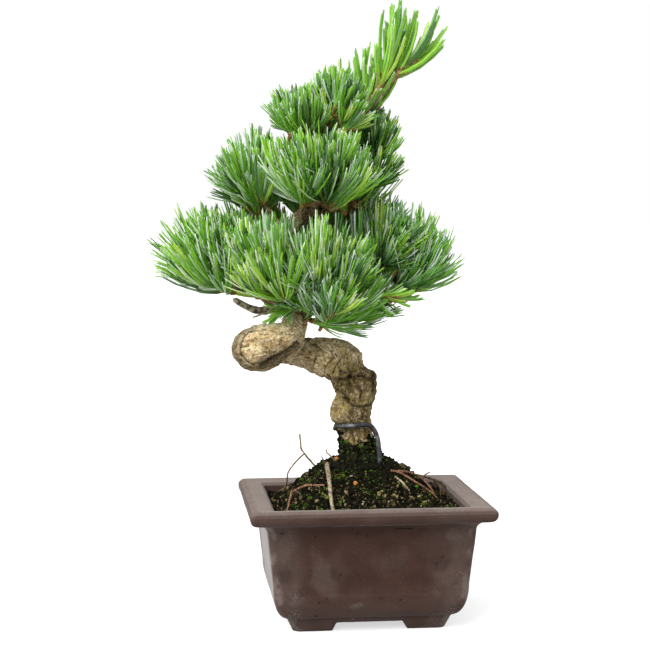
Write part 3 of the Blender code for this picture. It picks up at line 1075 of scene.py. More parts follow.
class Habit(Enum):
    """How a mass of foliage holds its needles."""

    SWEEP = SprayStyle(9.5, 38, 19, (25, 45), (80, 4), (0.6, 6), (0.45, 1.45), 0.8, 0.85, 0.62, 0.02, 0.82,
                       0.5, 0.42)
    FAN = SprayStyle(8.5, 40, 19, (27, 43), (82, 4), (0.6, 5.5), (0.4, 1.1), 0.8, 0.45, 0.9, 0.05, 0.82,
                     0.38, 0.38)
    TUFT = SprayStyle(13, 30, 15, (21, 35.5), (62, 4), (0.5, 4), (0.3, 1), 0.84, 0.4, 0.95, 0.08, 0.84,
                      0.35, 0.38)
    CLOSED = SprayStyle(6, 10, 15, (27.5, 35.5), (40, 8), (0.2, 0.9), (0.4, 0.9), 1.15, 0.3, 1, 0.2, 1.1,
                        0.2, young=(0.06, 0.36, 0.36, 0.15, 0.07), aged=(0.10, 0.36, 0.34, 0.14, 0.06))
    SKIRT = SprayStyle(4, 12, 15, (20, 36), (70, 6), (1, 6), (0.2, 1.2), 0.78, 0.85, 0.2, -0.7, 1, 0.3)


@dataclass(frozen=True)
class Mass:
    """One mass of foliage: the middle and half sizes of its outline, in millimetres.

    Drift, where it is given, is the common aim of its shoots, and lowest the least rise of its bundles.
    """

    name: str
    middle_mm: Place
    half_mm: Place
    habit: Habit = Habit.SWEEP
    drift: Place | None = None
    lowest: float | None = None

    @property
    def middle(self) -> Array:
        """The middle in metres."""
        return np.array(self.middle_mm) * MM

    @property
    def half(self) -> Array:
        """The half sizes in metres."""
        return np.array(self.half_mm) * MM


@dataclass(frozen=True)
class Bough:
    """One bough: its mass, its height on the trunk, its two radii and its sag, in millimetres."""

    name: str
    mass: str
    height_mm: float
    base_mm: float
    tip_mm: float
    sag_mm: float


MASSES = (
    Mass("low_far_left", (-84.5, 12, 207), (22.5, 27, 26), Habit.SWEEP, (-0.75, -0.1, 0.55), -0.14),
    Mass("low_left_front", (-61, -23.5, 199.5), (22.5, 24, 25.5)),
    Mass("low_front", (-20, -34, 191), (26.5, 27, 29.5)),
    Mass("low_right_front", (-8, -4, 178), (23, 20, 18), Habit.SWEEP, (0.5, -0.35, 0.5), -0.18),
    Mass("low_right", (28.5, -1.5, 203), (23.5, 30, 27.5), Habit.SWEEP, (0.6, -0.05, 0.66), -0.14),
    Mass("low_back_right", (15, 33, 196.5), (22, 24, 24)),
    Mass("low_back", (-17.5, 48, 197.5), (27, 26, 29)),
    Mass("low_back_left", (-55.5, 40.5, 201.5), (26, 26, 26.5)),
    Mass("middle_left", (-67, 9.5, 245.5), (19, 25, 25.5), Habit.FAN),
    Mass("middle_front", (-28, -21, 249.5), (33, 24, 24.5), Habit.FAN),
    Mass("middle_right", (3, -3, 242), (18, 19, 16.5), Habit.TUFT),
    Mass("middle_back_right", (5, 23.5, 231.5), (20.5, 22, 21.5), Habit.FAN),
    Mass("middle_back", (-32, 32, 247), (26.5, 24, 26), Habit.FAN),
    Mass("upper_left", (-36, 1, 276.5), (17.5, 19, 17.5), Habit.TUFT, (-0.1, -0.1, 0.85), -0.45),
    Mass("upper_front", (-15.5, -9.5, 288.5), (15, 17, 21.5), Habit.TUFT, (0.15, -0.15, 0.88), -0.45),
    Mass("upper_right", (10, 9, 269), (10, 17, 19), Habit.TUFT),
    Mass("upper_back", (-13, 21.5, 281), (17, 18, 20.5), Habit.TUFT),
    Mass("leader_foot", (6.5, 8, 293), (9, 11, 11.5), Habit.CLOSED),
    Mass("leader", (24, -2.5, 317), (20, 19, 23), Habit.CLOSED),
)
NAMED = {mass.name: mass for mass in MASSES}
HANGING = Mass("skirt", (-14.0, -12.0, 173.0), (34.0, 26.0, 24.0), Habit.SKIRT)
BOUGHS = (
    Bough("low_left", "low_far_left", 176, 3.4, 2.2, 7),
    Bough("low_left_front", "low_left_front", 183, 2.9, 2, 1.5),
    Bough("low_front", "low_front", 179, 3, 2, 2),
    Bough("low_right_front", "low_right_front", 173, 2.6, 1.8, 1),
    Bough("low_right", "low_right", 196, 3.2, 2, 3),
    Bough("low_back_right", "low_back_right", 190, 2.8, 1.8, 2),
    Bough("low_back", "low_back", 184, 2.9, 2, 2),
    Bough("low_back_left", "low_back_left", 192, 2.8, 1.9, 1.5),
    Bough("middle_left", "middle_left", 214, 2.6, 1.7, -3),
    Bough("middle_front", "middle_front", 221, 2.3, 1.6, 0),
    Bough("middle_right", "middle_right", 234, 2.1, 1.5, 0.5),
    Bough("middle_back_right", "middle_back_right", 226, 2.3, 1.6, 1),
    Bough("middle_back", "middle_back", 230, 2.2, 1.6, 0),
    Bough("upper_left", "upper_left", 257, 1.9, 1.4, 1),
    Bough("upper_front", "upper_front", 270, 1.6, 1.2, 0.5),
    Bough("upper_right", "upper_right", 262, 1.6, 1.2, 0.5),
    Bough("upper_back", "upper_back", 266, 1.7, 1.2, 0.5),
)


class Tier(Enum):
    """The masses whose needles are joined into one piece."""

    LOW_LEFT = ("low_far_left", "low_left_front")
    LOW_FRONT = ("low_front", "low_right_front")
    LOW_RIGHT = ("low_right", "low_back_right")
    LOW_BACK = ("low_back", "low_back_left")
    MIDDLE_FRONT = ("middle_left", "middle_front")
    MIDDLE_BACK = ("middle_right", "middle_back_right", "middle_back")
    UPPER = ("upper_left", "upper_front", "upper_right", "upper_back", "leader_foot", "leader")

    @classmethod
    def of(cls, mass: Mass) -> "Tier":
        """The tier that a mass belongs to."""
        return next(tier for tier in cls if mass.name in tier.value)


@dataclass(frozen=True)
class Stem:
    """A piece of wood at given points: its points and two radii in millimetres, and the bundles on it."""

    points: tuple[Place, ...]
    radii: Pair
    bundles: int = 0


LEADER_STEMS = (
    Stem(((-3.5, -1.5, 268), (2.5, -2, 283), (8.6, -2.5, 294), (13.6, -2.8, 306)), (2.3, 1.5), 15),
    Stem(((3.5, -1, 284), (12, -2, 294), (18.5, -3, 302.5), (25.2, -3, 309)), (1.7, 1.4), 15),
    Stem(((6, 1, 288), (12, 5, 294.5), (17, 7, 300), (20.5, 7.5, 307.5)), (1.5, 1.2), 15),
)
SKIRT = (
    Stem(((-37.5, 0, 170.5), (-33.5, -7, 168.5), (-29, -12, 166.5), (-25.5, -14.5, 166)), (1.4, 0.5)),
    Stem(((-37.5, -1, 176), (-22, -13, 181), (-2, -19, 182), (15, -20, 180)), (1.3, 0.8)),
    Stem(((-38, 0, 178), (-36.5, -8, 180), (-37, -13, 179), (-38.5, -16, 177)), (1.2, 0.8)),
    Stem(((-37, 0, 174), (-28, -6, 174), (-18, -10, 172), (-9, -13, 169.5)), (1.4, 0.9)),
    Stem(((-37, -1, 171), (-30, -7, 168), (-23, -12, 166), (-15, -15, 165.2)), (1.3, 0.5)),
    Stem(((-37.5, -1, 178), (-39.5, -8, 178.5), (-42.5, -12, 177), (-46, -15, 174)), (1.1, 0.7)),
)
DEAD_WOOD = (
    Stem(((-41, 3.5, 178), (-52, 4, 172.4), (-61, 4.5, 172.9), (-70.6, 5, 178)), (2.8, 1.7)),
    Stem(((-42, 3, 177.5), (-47, -3, 174.6), (-54, -4, 171.5), (-61, -4.5, 169)), (0.9, 0.5)),
    Stem(((-43, 2, 178), (-45.5, -2, 175), (-47.5, -3.5, 172.6), (-48.4, -4, 171.2)), (0.8, 0.6)),
    Stem(((-20, 5, 205), (-30, 8, 209.5), (-38.4, 9, 212.1), (-46.8, 10, 211)), (2.2, 1.5)),
    Stem(((-20, 4, 222), (-28, 6, 224), (-38.9, 7, 218.8), (-46, 8, 213.8)), (1.6, 1.1)),
)


@dataclass(frozen=True)
class Relief:
    """Spacing and depth of a bark's lumps, flakes, cracks and grooves of old wire, in metres."""

    lump_pitch: float
    lump: float
    flake_pitch: float
    flake: float
    crack_pitch: float
    crack: float
    groove_pitch: float = 12.5 * MM
    groove: float = 0.0


Carving = Callable[[Array], tuple[Array, Array]]


@dataclass
class Skin:
    """A bark skin carried along one path: a ring of points at each station, moved by the relief.

    A carving, where there is one, takes the unmoved points and gives a height to add and how
    dark the bark is there.
    """

    path: Array
    radius: Array
    sides: int
    relief: Relief
    seed: int
    tone: Array
    scarred: Array | None = None
    carving: Carving | None = None

    def surface(self) -> Surface:
        """Works out the skin.

        Formula: on the straightened limb, a point is its distance along and the cosine and sine of its
        angle times the radius. Lumps and flakes are read there as noise, cracks as the lines between
        wide plates, and wire grooves as a helix whose turns drift. Their sum moves each point along its
        ring.

        Returns:
            The skin with its marks.
        """
        relief = self.relief
        tangents, across, over = carried_frames(self.path)
        run = distances(self.path)
        angle = np.linspace(0, TURN, self.sides, endpoint=False)
        ring = circle(angle, across[:, None], over[:, None])
        girth = self.radius[:, None] * np.ones(self.sides)
        along = run[:, None] * np.ones(self.sides)
        straight = np.stack([girth * np.cos(angle), girth * np.sin(angle), along], axis=-1)
        drift = [layered_noise(straight, 2.2 * relief.flake_pitch, self.seed + k) for k in (1, 2, 3)]
        drift = np.stack(drift, axis=-1)
        flake_gap, flake_tone = plate_noise((straight + 0.5 * relief.flake_pitch * drift) * (1.0, 1.0, 0.75),
                                            relief.flake_pitch, self.seed)
        crack_gap, plate_tone = plate_noise((straight + 2.2 * MM * drift) * (1.0, 1.0, 0.8),
                                            relief.crack_pitch, self.seed + 9)
        lumps = layered_noise(straight, relief.lump_pitch, self.seed + 30, 4)
        torn = smooth_step(0.12, 0.45, layered_noise(straight, 0.9 * relief.crack_pitch, self.seed + 50))
        crack = torn * (1 - smooth_step(0.01, 0.07, crack_gap))
        flake = smooth_step(0.0, 0.30, flake_gap) * (0.3 + 0.7 * flake_tone)
        streak = layered_noise((straight + 0.8 * MM * drift) * (1.0, 1.0, 0.30), 1.1 * MM, self.seed + 40, 2)
        rough = 1.6 - 0.9 * self.tone[:, None]
        height = relief.lump * lumps + relief.flake * rough * (flake - 0.5 + 0.45 * streak)
        height = height - relief.crack * crack
        seam = (1 - smooth_step(0.0, 0.13, flake_gap)) * smooth_step(-0.2, 0.4, drift[..., 0])
        dark = 0.9 * crack + 0.42 * seam
        if self.scarred is not None:
            turns = angle / TURN + run[:, None] / relief.groove_pitch
            turns = turns + 0.30 * layered_noise(straight, 0.016, self.seed + 60)
            off = np.abs(turns - np.round(turns)) * relief.groove_pitch
            broken = smooth_step(-0.30, 0.20, layered_noise(straight, 0.014, self.seed + 63))
            groove = self.scarred[:, None] * broken * bell(off, 1.1 * MM)
            height = height - relief.groove * groove
            dark = dark + 0.75 * groove
        base = self.path[:, None, :] + ring * girth[..., None]
        if self.carving is not None:
            carved, carved_dark = self.carving(base)
            height = height + carved
            dark = np.maximum(dark, carved_dark)
        points = base + ring * height[..., None]
        ends = np.stack([self.path[0], self.path[-1] + tangents[-1] * 0.6 * self.radius[-1]])
        surface = closed_skins(points[None], ends[None])
        raised = np.clip(0.5 + 0.9 * lumps, 0, 1)
        # Painted shade darkens the bark that faces down.
        painted_underside_shade = smooth_step(0.05, 0.85, -ring[..., 2])
        tone = self.tone[:, None] * (0.72 + 0.55 * raised) * (1 - 0.34 * painted_underside_shade)
        # Painted light brightens the bark that faces up.
        painted_top_light = 0.32 * smooth_step(0.1, 0.9, ring[..., 2]) * self.tone[:, None]
        pale = 0.55 * flake_tone + 0.45 * plate_tone + painted_top_light
        marks = {
            # The crack mark also carries painted shade from the creases and the roll's hollow.
            "crack": dark, "pale": pale, "tone": tone * (1 + painted_top_light),
            "streak": 0.5 + 0.6 * streak + 0.5 * painted_top_light,
            "lichen": np.zeros_like(dark), "moss": np.zeros_like(dark),
        }
        for name, values in marks.items():
            surface.marks[name] = np.clip(np.append(values.ravel(), [values[0, 0], values[-1, 0]]), 0, 1)
        return surface


def even_route(route: Array, spacing: float) -> Array:
    """Stations at even distances along a route.

    Args:
        route: close stations, with further values beside them.
        spacing: the distance wanted.

    Returns:
        The stations.
    """
    length = distances(route[:, :3])
    every = np.linspace(0, length[-1], int(length[-1] / spacing) + 1)
    return np.stack([np.interp(every, length, route[:, k]) for k in range(route.shape[1])], axis=-1)


@dataclass(frozen=True)
class Crease:
    """A fold or crack on the trunk: its line seen from the front, depth and half width in millimetres.

    It reaches only the bark in front of nearest, a distance along Y. Shade is how dark a soft
    band of the given width along it is. A swelling has a depth below zero and no dark line.
    """

    line: tuple[Pair, ...]
    depth: float
    half_width: float
    nearest: float
    shade: float = 0.0
    band: float = 3.0
    dark: float = 0.92

    def away(self, places: Array) -> Array:
        """The distance of each place from the line, seen from the front.

        Args:
            places: points on the trunk.

        Returns:
            Distances in millimetres.
        """
        flat = places[..., [0, 2]] / MM
        flat = flat + 0.5 * np.stack([layered_noise(places, 0.003, seed) for seed in (401, 402)], axis=-1)
        nearest = np.full(flat.shape[:-1], 99.0)
        for start, end in zip(np.array(self.line), np.array(self.line)[1:]):
            span = end - start
            share = np.clip(((flat - start) @ span) / (span @ span), 0, 1)
            nearest = np.minimum(nearest, np.linalg.norm(flat - start - share[..., None] * span, axis=-1))
        return nearest


@dataclass
class Trunk:
    """The trunk: a foot, one corkscrew turn and a leader.

    Each bend gives its place and radius in millimetres and how pale the bark is there.
    """

    foot: tuple[tuple[float, ...], ...] = (
        (-1.6, -2.6, 87, 15.2, 0.05), (-1.9, -2.7, 91, 12.6, 0.1), (-3, -3.1, 96, 10.6, 0.16),
        (-5, -3.5, 107.3, 9.4, 0.19), (-7.2, -3.2, 114, 11, 0.18), (-4.6, -2, 122.5, 10.1, 0.18),
        (-3.8, 0.4, 129, 11.7, 0.05), (-6.6, 3.1, 135.2, 11.3, 0.1), (-12.9, 9.6, 143.2, 12.5, 0.85),
        (-29.7, 19, 146.9, 9.3, 1.00),
    )
    leader: tuple[tuple[float, ...], ...] = (
        (-40.2, -7.5, 161.5, 7.6, 0.8), (-37.4, -2, 167.5, 6.6, 0.66), (-37.6, 2.5, 174, 6.1, 0.55),
        (-40.5, 3.5, 188, 5.5, 0.5), (-44.2, 4.5, 203, 5.1, 0.5), (-43.2, 5, 213, 4.7, 0.5),
        (-34, 3.5, 223.5, 4.2, 0.5), (-23.5, 1.5, 236, 3.7, 0.45), (-13, 0.5, 253, 3.2, 0.45),
        (-3.4, 0, 272, 2.6, 0.45), (4.6, -0.5, 287, 2.4, 0.45), (11.5, -1.3, 296, 2.2, 0.45),
        (13.2, -1.5, 307, 1.6, 0.45),
    )
    socket: tuple[float, ...] = (-42.0, -9.2, 156.5, 8.2, 1.0)
    turn_middle: Pair = (-45.0, 5.5)
    turn_radius: float = 16.5
    turn_heights: tuple[float, ...] = (150.0, 151.2, 151.5, 152.2, 158.2)
    turn_thickness: tuple[float, ...] = (8.8, 9.8, 10.9, 12.9, 8.9)
    turn_tones: tuple[float, ...] = (0.90, 0.95, 1.0, 1.0, 1.0)
    turn_angles: Pair = (85.0, 275.0)
    roll_middle: Pair = (-59.0, 152.5)
    roll_radius: float = 10.0
    creases: tuple[Crease, ...] = (
        Crease(((-32, 160), (-34.3, 158.2), (-37.6, 155.5), (-42, 152.3), (-50.7, 146.9),
            (-57.2, 143.2)), 1.9, 1.1, 1, 0.8, 4),
        Crease(((-29, 157), (-31, 155.3), (-38.9, 149.8), (-46.7, 143.7)), 0.5, 1, 40, 0.6, 2.6),
        Crease(((-18.5, 134.7), (-15.7, 130.8), (-12.3, 126.8), (-8.2, 121.2), (-2.3, 119.5),
            (3.8, 119.9)), 1.1, 0.7, 0, 0.45, 2.2),
        Crease(((-25.6, 154.7), (-24.5, 151.9), (-22.2, 149.7)), 0.6, 0.35, 9),
        Crease(((-12.2, 147.4), (-13.9, 144), (-16.1, 140.2), (-16.6, 137.9)), 0.6, 0.4, 5, 0.15, 1.5),
        Crease(((-6.9, 138), (-9.7, 134.7), (-8.6, 130.8)), 1.1, 0.6, 0, 0.66, 3),
        Crease(((-4.1, 131.3), (-1.3, 127.9), (-3, 124.6)), 0.9, 0.5, 0, 0.45, 2.2),
        Crease(((4.8, 137.3), (6.2, 132.3), (5.6, 127.3)), 1.5, 0.8, 2, 0.6, 1.9),
        Crease(((-11.4, 115.3), (-7.5, 112.5), (-9.2, 109.2)), 0.6, 0.35, -4, 0.15, 1.5),
        Crease(((-0.3, 116.3), (-2.5, 113)), 0.6, 0.35, -4, 0.15, 1.5),
        Crease(((-9, 146.6), (7, 141.2)), 2.3, 3.2, 40, dark=0),
        Crease(((4.5, 137.4), (10, 134.4)), -1.3, 1.5, 40, dark=0),
        Crease(((-4.5, 149.6), (-0.6, 147.4)), -0.9, 1.6, 40, dark=0),
        Crease(((-20, 133.5), (-16, 131.5)), 1.3, 1.6, 40, 0.3, 2.2, 0.4),
        Crease(((-22, 108.9), (-11.5, 109)), 1.9, 1.7, 40, 0.2, 2, 0.3),
    )
    moss_edge: tuple[Pair, ...] = (
        (-0.0136, 0.1055), (-0.0114, 0.1022), (-0.0075, 0.1), (-0.002, 0.0994), (0.003, 0.1022),
        (0.0064, 0.103),
    )
    steps: int = 14
    spacing: Pair = (0.45 * MM, 0.6 * MM)
    rounded_end: float = 7.0 * MM
    sides: int = 164
    leader_sides: int = 64
    wet: Array | None = None
    bark_relief: Relief = Relief(
        12.0 * MM, 1.60 * MM, 1.8 * MM, 0.78 * MM, 6.5 * MM, 0.7 * MM, 12.5 * MM, 0.9 * MM)
    leader_relief: Relief = Relief(7.0 * MM, 0.6 * MM, 1.7 * MM, 0.35 * MM, 5.0 * MM, 0.35 * MM)

    def turn(self) -> Array:
        """The bends of the corkscrew turn, on a circle seen from above.

        Returns:
            Place, radius and tone of each, in millimetres.
        """
        angle = np.radians(np.linspace(*self.turn_angles, len(self.turn_heights)))
        plan = np.array(self.turn_middle) + self.turn_radius * spokes(angle)
        return np.column_stack([plan, self.turn_heights, self.turn_thickness, self.turn_tones])

    def route(self) -> Array:
        """The trunk's whole middle line with its radius and tone, in metres.

        Returns:
            Stations, n by 5.
        """
        route = smooth_route(np.vstack([self.foot, self.turn(), self.leader]), self.steps)
        return route * (MM, MM, MM, MM, 1.0)

    def at_height(self, height: float) -> Array:
        """The leader's middle line at a height.

        Args:
            height: metres above the ground.

        Returns:
            The point with the radius beside it.
        """
        route = self.route()
        leader = route[route[:, 2] > MM * self.leader[1][2]]
        return np.array([np.interp(height, leader[:, 2], leader[:, axis]) for axis in range(4)])

    def carve(self, places: Array) -> tuple[Array, Array]:
        """Everything that is cut into the bark: the rolled lip and the creases.

        Formula: across a crease the depth falls off as a bell curve, and its shade as a wider one.

        Args:
            places: points on the trunk.

        Returns:
            The height to add and how dark the bark is.
        """
        height, dark = self.roll(places)
        for crease in self.creases:
            away = crease.away(places)
            front = 1 - smooth_step(crease.nearest - 2.0, crease.nearest + 2.0, places[..., 1] / MM)
            cut = front * bell(away, crease.half_width)
            soft = front * bell(away, crease.band)
            height = height - MM * crease.depth * cut
            # The dark line paints the shade in the fold along with the crack's own dark; the soft band is
            # painted shade.
            dark = np.maximum(dark, np.maximum(crease.dark * cut, crease.shade * soft))
        return height, dark

    def roll(self, places: Array) -> tuple[Array, Array]:
        """The rolled lip at the turn's outer end, and its hollow.

        Formula: from the front the hollow is an arc of a circle, open to the right, with a bell curve
        across it. The bark outside the arc swells slightly.

        Args:
            places: points on the trunk.

        Returns:
            The height to add and how dark the bark is.
        """
        right = places[..., 0] - self.roll_middle[0] * MM
        up = places[..., 2] - self.roll_middle[1] * MM
        out = np.hypot(right, up) / MM + 0.9 * layered_noise(places, 0.006, 77)
        facing = np.degrees(np.arctan2(np.abs(up), -right))
        near = (1 - smooth_step(62.0, 95.0, facing)) * (1 - smooth_step(2.0 * MM, 9.0 * MM, places[..., 1]))
        hollow = near * bell(out - self.roll_radius, 0.75)
        lip = near * smooth_step(self.roll_radius + 0.4, self.roll_radius + 1.6, out)
        # The hollow's dark is painted shade in the groove.
        return MM * (0.45 * lip - 1.0 * hollow), 0.85 * hollow + 0.60 * lip

    def shells(self) -> list[Surface]:
        """The skins of the trunk: the foot with its turn, and the leader that rises from its end.

        Returns:
            The two skins.
        """
        scale = (MM, MM, MM, MM, 1.0)
        low = smooth_route(np.vstack([self.foot, self.turn(), self.leader[:2]]), self.steps)
        low = even_route(low[:-self.steps] * scale, self.spacing[0])
        left = np.arange(len(low))[::-1] * self.spacing[0] / self.rounded_end
        low[:, 3] *= np.sqrt(np.clip(1 - (1 - np.minimum(left, 1.0)) ** 2, 0.02, 1))
        scarred = smooth_step(0.111, 0.117, low[:, 2]) * smooth_step(-0.040, -0.026, low[:, 0])
        neck = 1 - 0.75 * bell(low[:, 2] - 0.1085, 0.0035)
        high = smooth_route(np.vstack([self.socket, self.leader]), self.steps)
        high = even_route(high * scale, self.spacing[1])
        foot = Skin(low[:, :3], low[:, 3], self.sides, self.bark_relief, 60, low[:, 4],
                    scarred * neck, self.carve)
        leader = Skin(high[:, :3], high[:, 3], self.leader_sides, self.leader_relief, 160, high[:, 4])
        return [foot.surface(), leader.surface()]

    def build(self, bark: Material) -> None:
        """Makes the trunk with its bark.

        Args:
            bark: its finish.
        """
        surface = Surface.joined(self.shells())
        x, z = surface.points[:, 0], surface.points[:, 2]
        patches = layered_noise(surface.points, 0.012, 71)
        green = smooth_step(-0.036, -0.022, x) * (0.55 + 0.6 * patches) * (z < 0.160)
        surface.marks["lichen"] = np.clip(green, 0, 1)
        edge = np.interp(x, *np.transpose(self.moss_edge))
        edge = edge + 0.0042 * layered_noise(surface.points, 0.0040, 73)
        spots = 0.85 * smooth_step(0.14, 0.36, layered_noise(surface.points, 0.0030, 79)) * (z < edge + 0.004)
        surface.marks["moss"] = np.maximum(1 - smooth_step(-0.0010, 0.0008, z - edge), spots)
        self.wet = surface.points[(surface.marks["moss"] > 0.5) & (z > 0.087)]
        piece = surface.piece("trunk_bark", [bark])
        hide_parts("trunk")


@dataclass
class Boughs:
    """The limbs that leave the trunk, each one cubic curve that ends where it enters its mass."""

    trunk: Trunk
    reach: float = 0.78
    stations: int = 60
    sides: int = 36
    tone: float = 0.55
    flare: Pair = (0.35, 0.10)
    relief: Relief = Relief(5.0 * MM, 0.45 * MM, 1.5 * MM, 0.28 * MM, 4.0 * MM, 0.25 * MM)

    def controls(self, bough: Bough) -> Array:
        """The four control points of a bough, which ends in its mass.

        Args:
            bough: the limb.

        Returns:
            Points, 4 by 3.
        """
        mass = NAMED[bough.mass]
        start = self.trunk.at_height(bough.height_mm * MM)[:3]
        away = start - mass.middle
        end = mass.middle + away * self.reach / np.linalg.norm(away / mass.half)
        span = end - start
        sag = np.array((0, 0, bough.sag_mm * MM))
        flat = span * np.array((1.0, 1.0, 0.35))
        return np.stack([start, start + 0.35 * flat - sag, end - 0.30 * span - sag, end])

    def build(self, bark: Material) -> None:
        """Makes all boughs as one piece.

        Args:
            bark: the finish.
        """
        skins = []
        t = np.linspace(0, 1, self.stations)
        for number, bough in enumerate(BOUGHS):
            path = bezier(self.controls(bough)[None], t[None])[0]
            radius = MM * blend(bough.base_mm, bough.tip_mm, t)
            radius *= 1 + self.flare[0] * bell(t, self.flare[1])
            tone = np.full(self.stations, self.tone)
            skins.append(Skin(path, radius, self.sides, self.relief, 200 + 7 * number, tone).surface())
        piece = Surface.joined(skins).piece("bough_bark", [bark])
        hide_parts(*["bough_" + bough.name for bough in BOUGHS])


# The crown

@dataclass
class Twigs:
    """What has grown in one mass: a cubic curve and two radii for each twig, and its shoot's aim."""

    controls: Array
    radii: Array
    aims: Array
    lengths: Array


@dataclass
class Growth:
    """The branching rule. Shoot tips are spread through a mass, and each joins the nearest wood behind it.

    The nearest tips join first, so later ones branch from them, and wood thickens with the
    number of shoots that it carries. A tip takes the wood that costs least: its distance, plus
    detour times the way back along the wood, plus sideways or crowded where the wood isn't
    behind the tip or is too close.
    """

    usual_size: float = 25.0 * MM
    spread: float = 0.62
    low: float = -0.90
    high: float = 0.00
    tip_radius: float = 0.85 * MM
    thickening: float = 0.42
    detour: float = 0.35
    jitter: float = 0.05
    wander: float = 0.27
    sideways: float = 0.012
    crowded: float = 0.02
    crown_axis: Pair = (-22.0 * MM, 3.0 * MM)

    def outward(self, mass: Mass) -> Array:
        """The level direction from the crown's middle line to a mass, shorter for one near it.

        Args:
            mass: the mass.

        Returns:
            A vector of a length up to one.
        """
        away = mass.middle[:2] - np.array(self.crown_axis)
        return np.append(away / max(np.linalg.norm(away), 1.2 * self.usual_size), 0.0)

    def shoot_tips(self, mass: Mass, rng: Random) -> Array:
        """Spreads shoot tips through the lower part of a mass, on the side towards the trunk.

        Formula: a sunflower spiral over a disc, with heights drawn in strata.

        Args:
            mass: the mass.
            rng: the random source.

        Returns:
            Points, n by 3, in half sizes from its middle.
        """
        size = np.cbrt(np.prod(mass.half)) / self.usual_size
        count = max(4, int(round(mass.habit.value.shoots * size ** 1.5)))
        number = np.arange(count)
        radius = self.spread * np.sqrt((number + 0.5) / count)
        angle = number * GOLDEN_ANGLE + rng.uniform(0, TURN)
        level = blend(self.low, self.high, rng.permutation((number + 0.5) / count))
        tips = np.stack([radius * np.cos(angle), radius * np.sin(angle), level], axis=-1)
        return tips - mass.habit.value.inward * self.outward(mass) + rng.normal(0, self.jitter, tips.shape)

    def shoot_aims(self, tips: Array, mass: Mass, rng: Random) -> Array:
        """The way each shoot points: up, and out from its mass and the crown's middle line.

        Args:
            tips: shoot tips in half sizes.
            mass: their mass.
            rng: the random source.

        Returns:
            Unit vectors, n by 3.
        """
        style = mass.habit.value
        out = (tips + style.inward * self.outward(mass)) * np.array((1.0, 1.0, 0.0))
        common = style.lean * self.outward(mass) + style.lift * UP
        if mass.drift is not None:
            common = np.array(mass.drift)
        return unit(0.85 * out + common + rng.normal(0, self.wander, tips.shape))

    def grow(self, mass: Mass, limb: Array, limb_radius: float, rng: Random) -> Twigs:
        """Grows the twigs of one mass.

        Args:
            mass: the mass.
            limb: stations of the limb that enters it, n by 3.
            limb_radius: the radius at its tip.
            rng: the random source.

        Returns:
            The twigs.
        """
        tips = self.shoot_tips(mass, rng)
        aims = self.shoot_aims(tips, mass, rng)
        tips = mass.middle + tips * mass.half
        order = np.argsort(np.linalg.norm(tips - limb[-1], axis=1))
        wood = [limb[k] for k in range(len(limb))]
        parent = list(range(-1, len(limb) - 1))
        path_length = [0.0] * len(limb)
        load = [0.0] * len(limb)
        controls, firsts = [], []
        for index in order:
            tip, aim = tips[index], aims[index]
            places = np.array(wood)
            gap = tip - places
            distance = np.linalg.norm(gap, axis=1)
            behind = (gap @ aim) / np.maximum(distance, 1e-6)
            cost = distance + self.detour * np.array(path_length)
            cost += self.sideways * (behind < 0.35) + self.crowded * (distance < 0.007)
            start = int(np.argmin(cost))
            reach = distance[start]
            leave = unit(places[start] - places[parent[start]]) if parent[start] >= 0 else unit(gap[start])
            first = places[start] + 0.30 * reach * unit(leave + 0.8 * unit(gap[start]))
            second = tip - aim * max(0.42 * reach, 0.004)
            curve = np.stack([places[start], first, second, tip])
            stations = bezier(curve[None], np.linspace(0, 1, 7)[None])[0][1:]
            previous = start
            for station in stations:
                path_length.append(path_length[previous] + float(np.linalg.norm(station - wood[previous])))
                wood.append(station)
                parent.append(previous)
                load.append(0.0)
                previous = len(wood) - 1
            walk = previous
            while walk >= 0:
                load[walk] += 1.0
                walk = parent[walk]
            controls.append(curve)
            firsts.append(previous - len(stations) + 1)
        thick = np.minimum(self.tip_radius * np.array(load)[firsts] ** self.thickening, limb_radius)
        radii = np.stack([thick, np.full(len(thick), self.tip_radius)], axis=-1)
        controls = np.stack(controls)
        lengths = np.linalg.norm(controls[:, 3] - controls[:, 0], axis=1)
        return Twigs(controls, radii, aims[order], lengths)


class Tint(Enum):
    """The plain base colours that the sprays are dealt, outer and inner face of a needle."""

    DEEP = ((0.030, 0.120, 0.008), (0.310, 0.470, 0.270))
    GRASS = ((0.155, 0.430, 0.023), (0.720, 0.860, 0.640))
    LEAF = ((0.290, 0.610, 0.045), (0.780, 0.900, 0.680))
    LIME = ((0.490, 0.710, 0.100), (0.840, 0.920, 0.660))
    BLUE = ((0.170, 0.390, 0.100), (0.820, 0.920, 0.830))


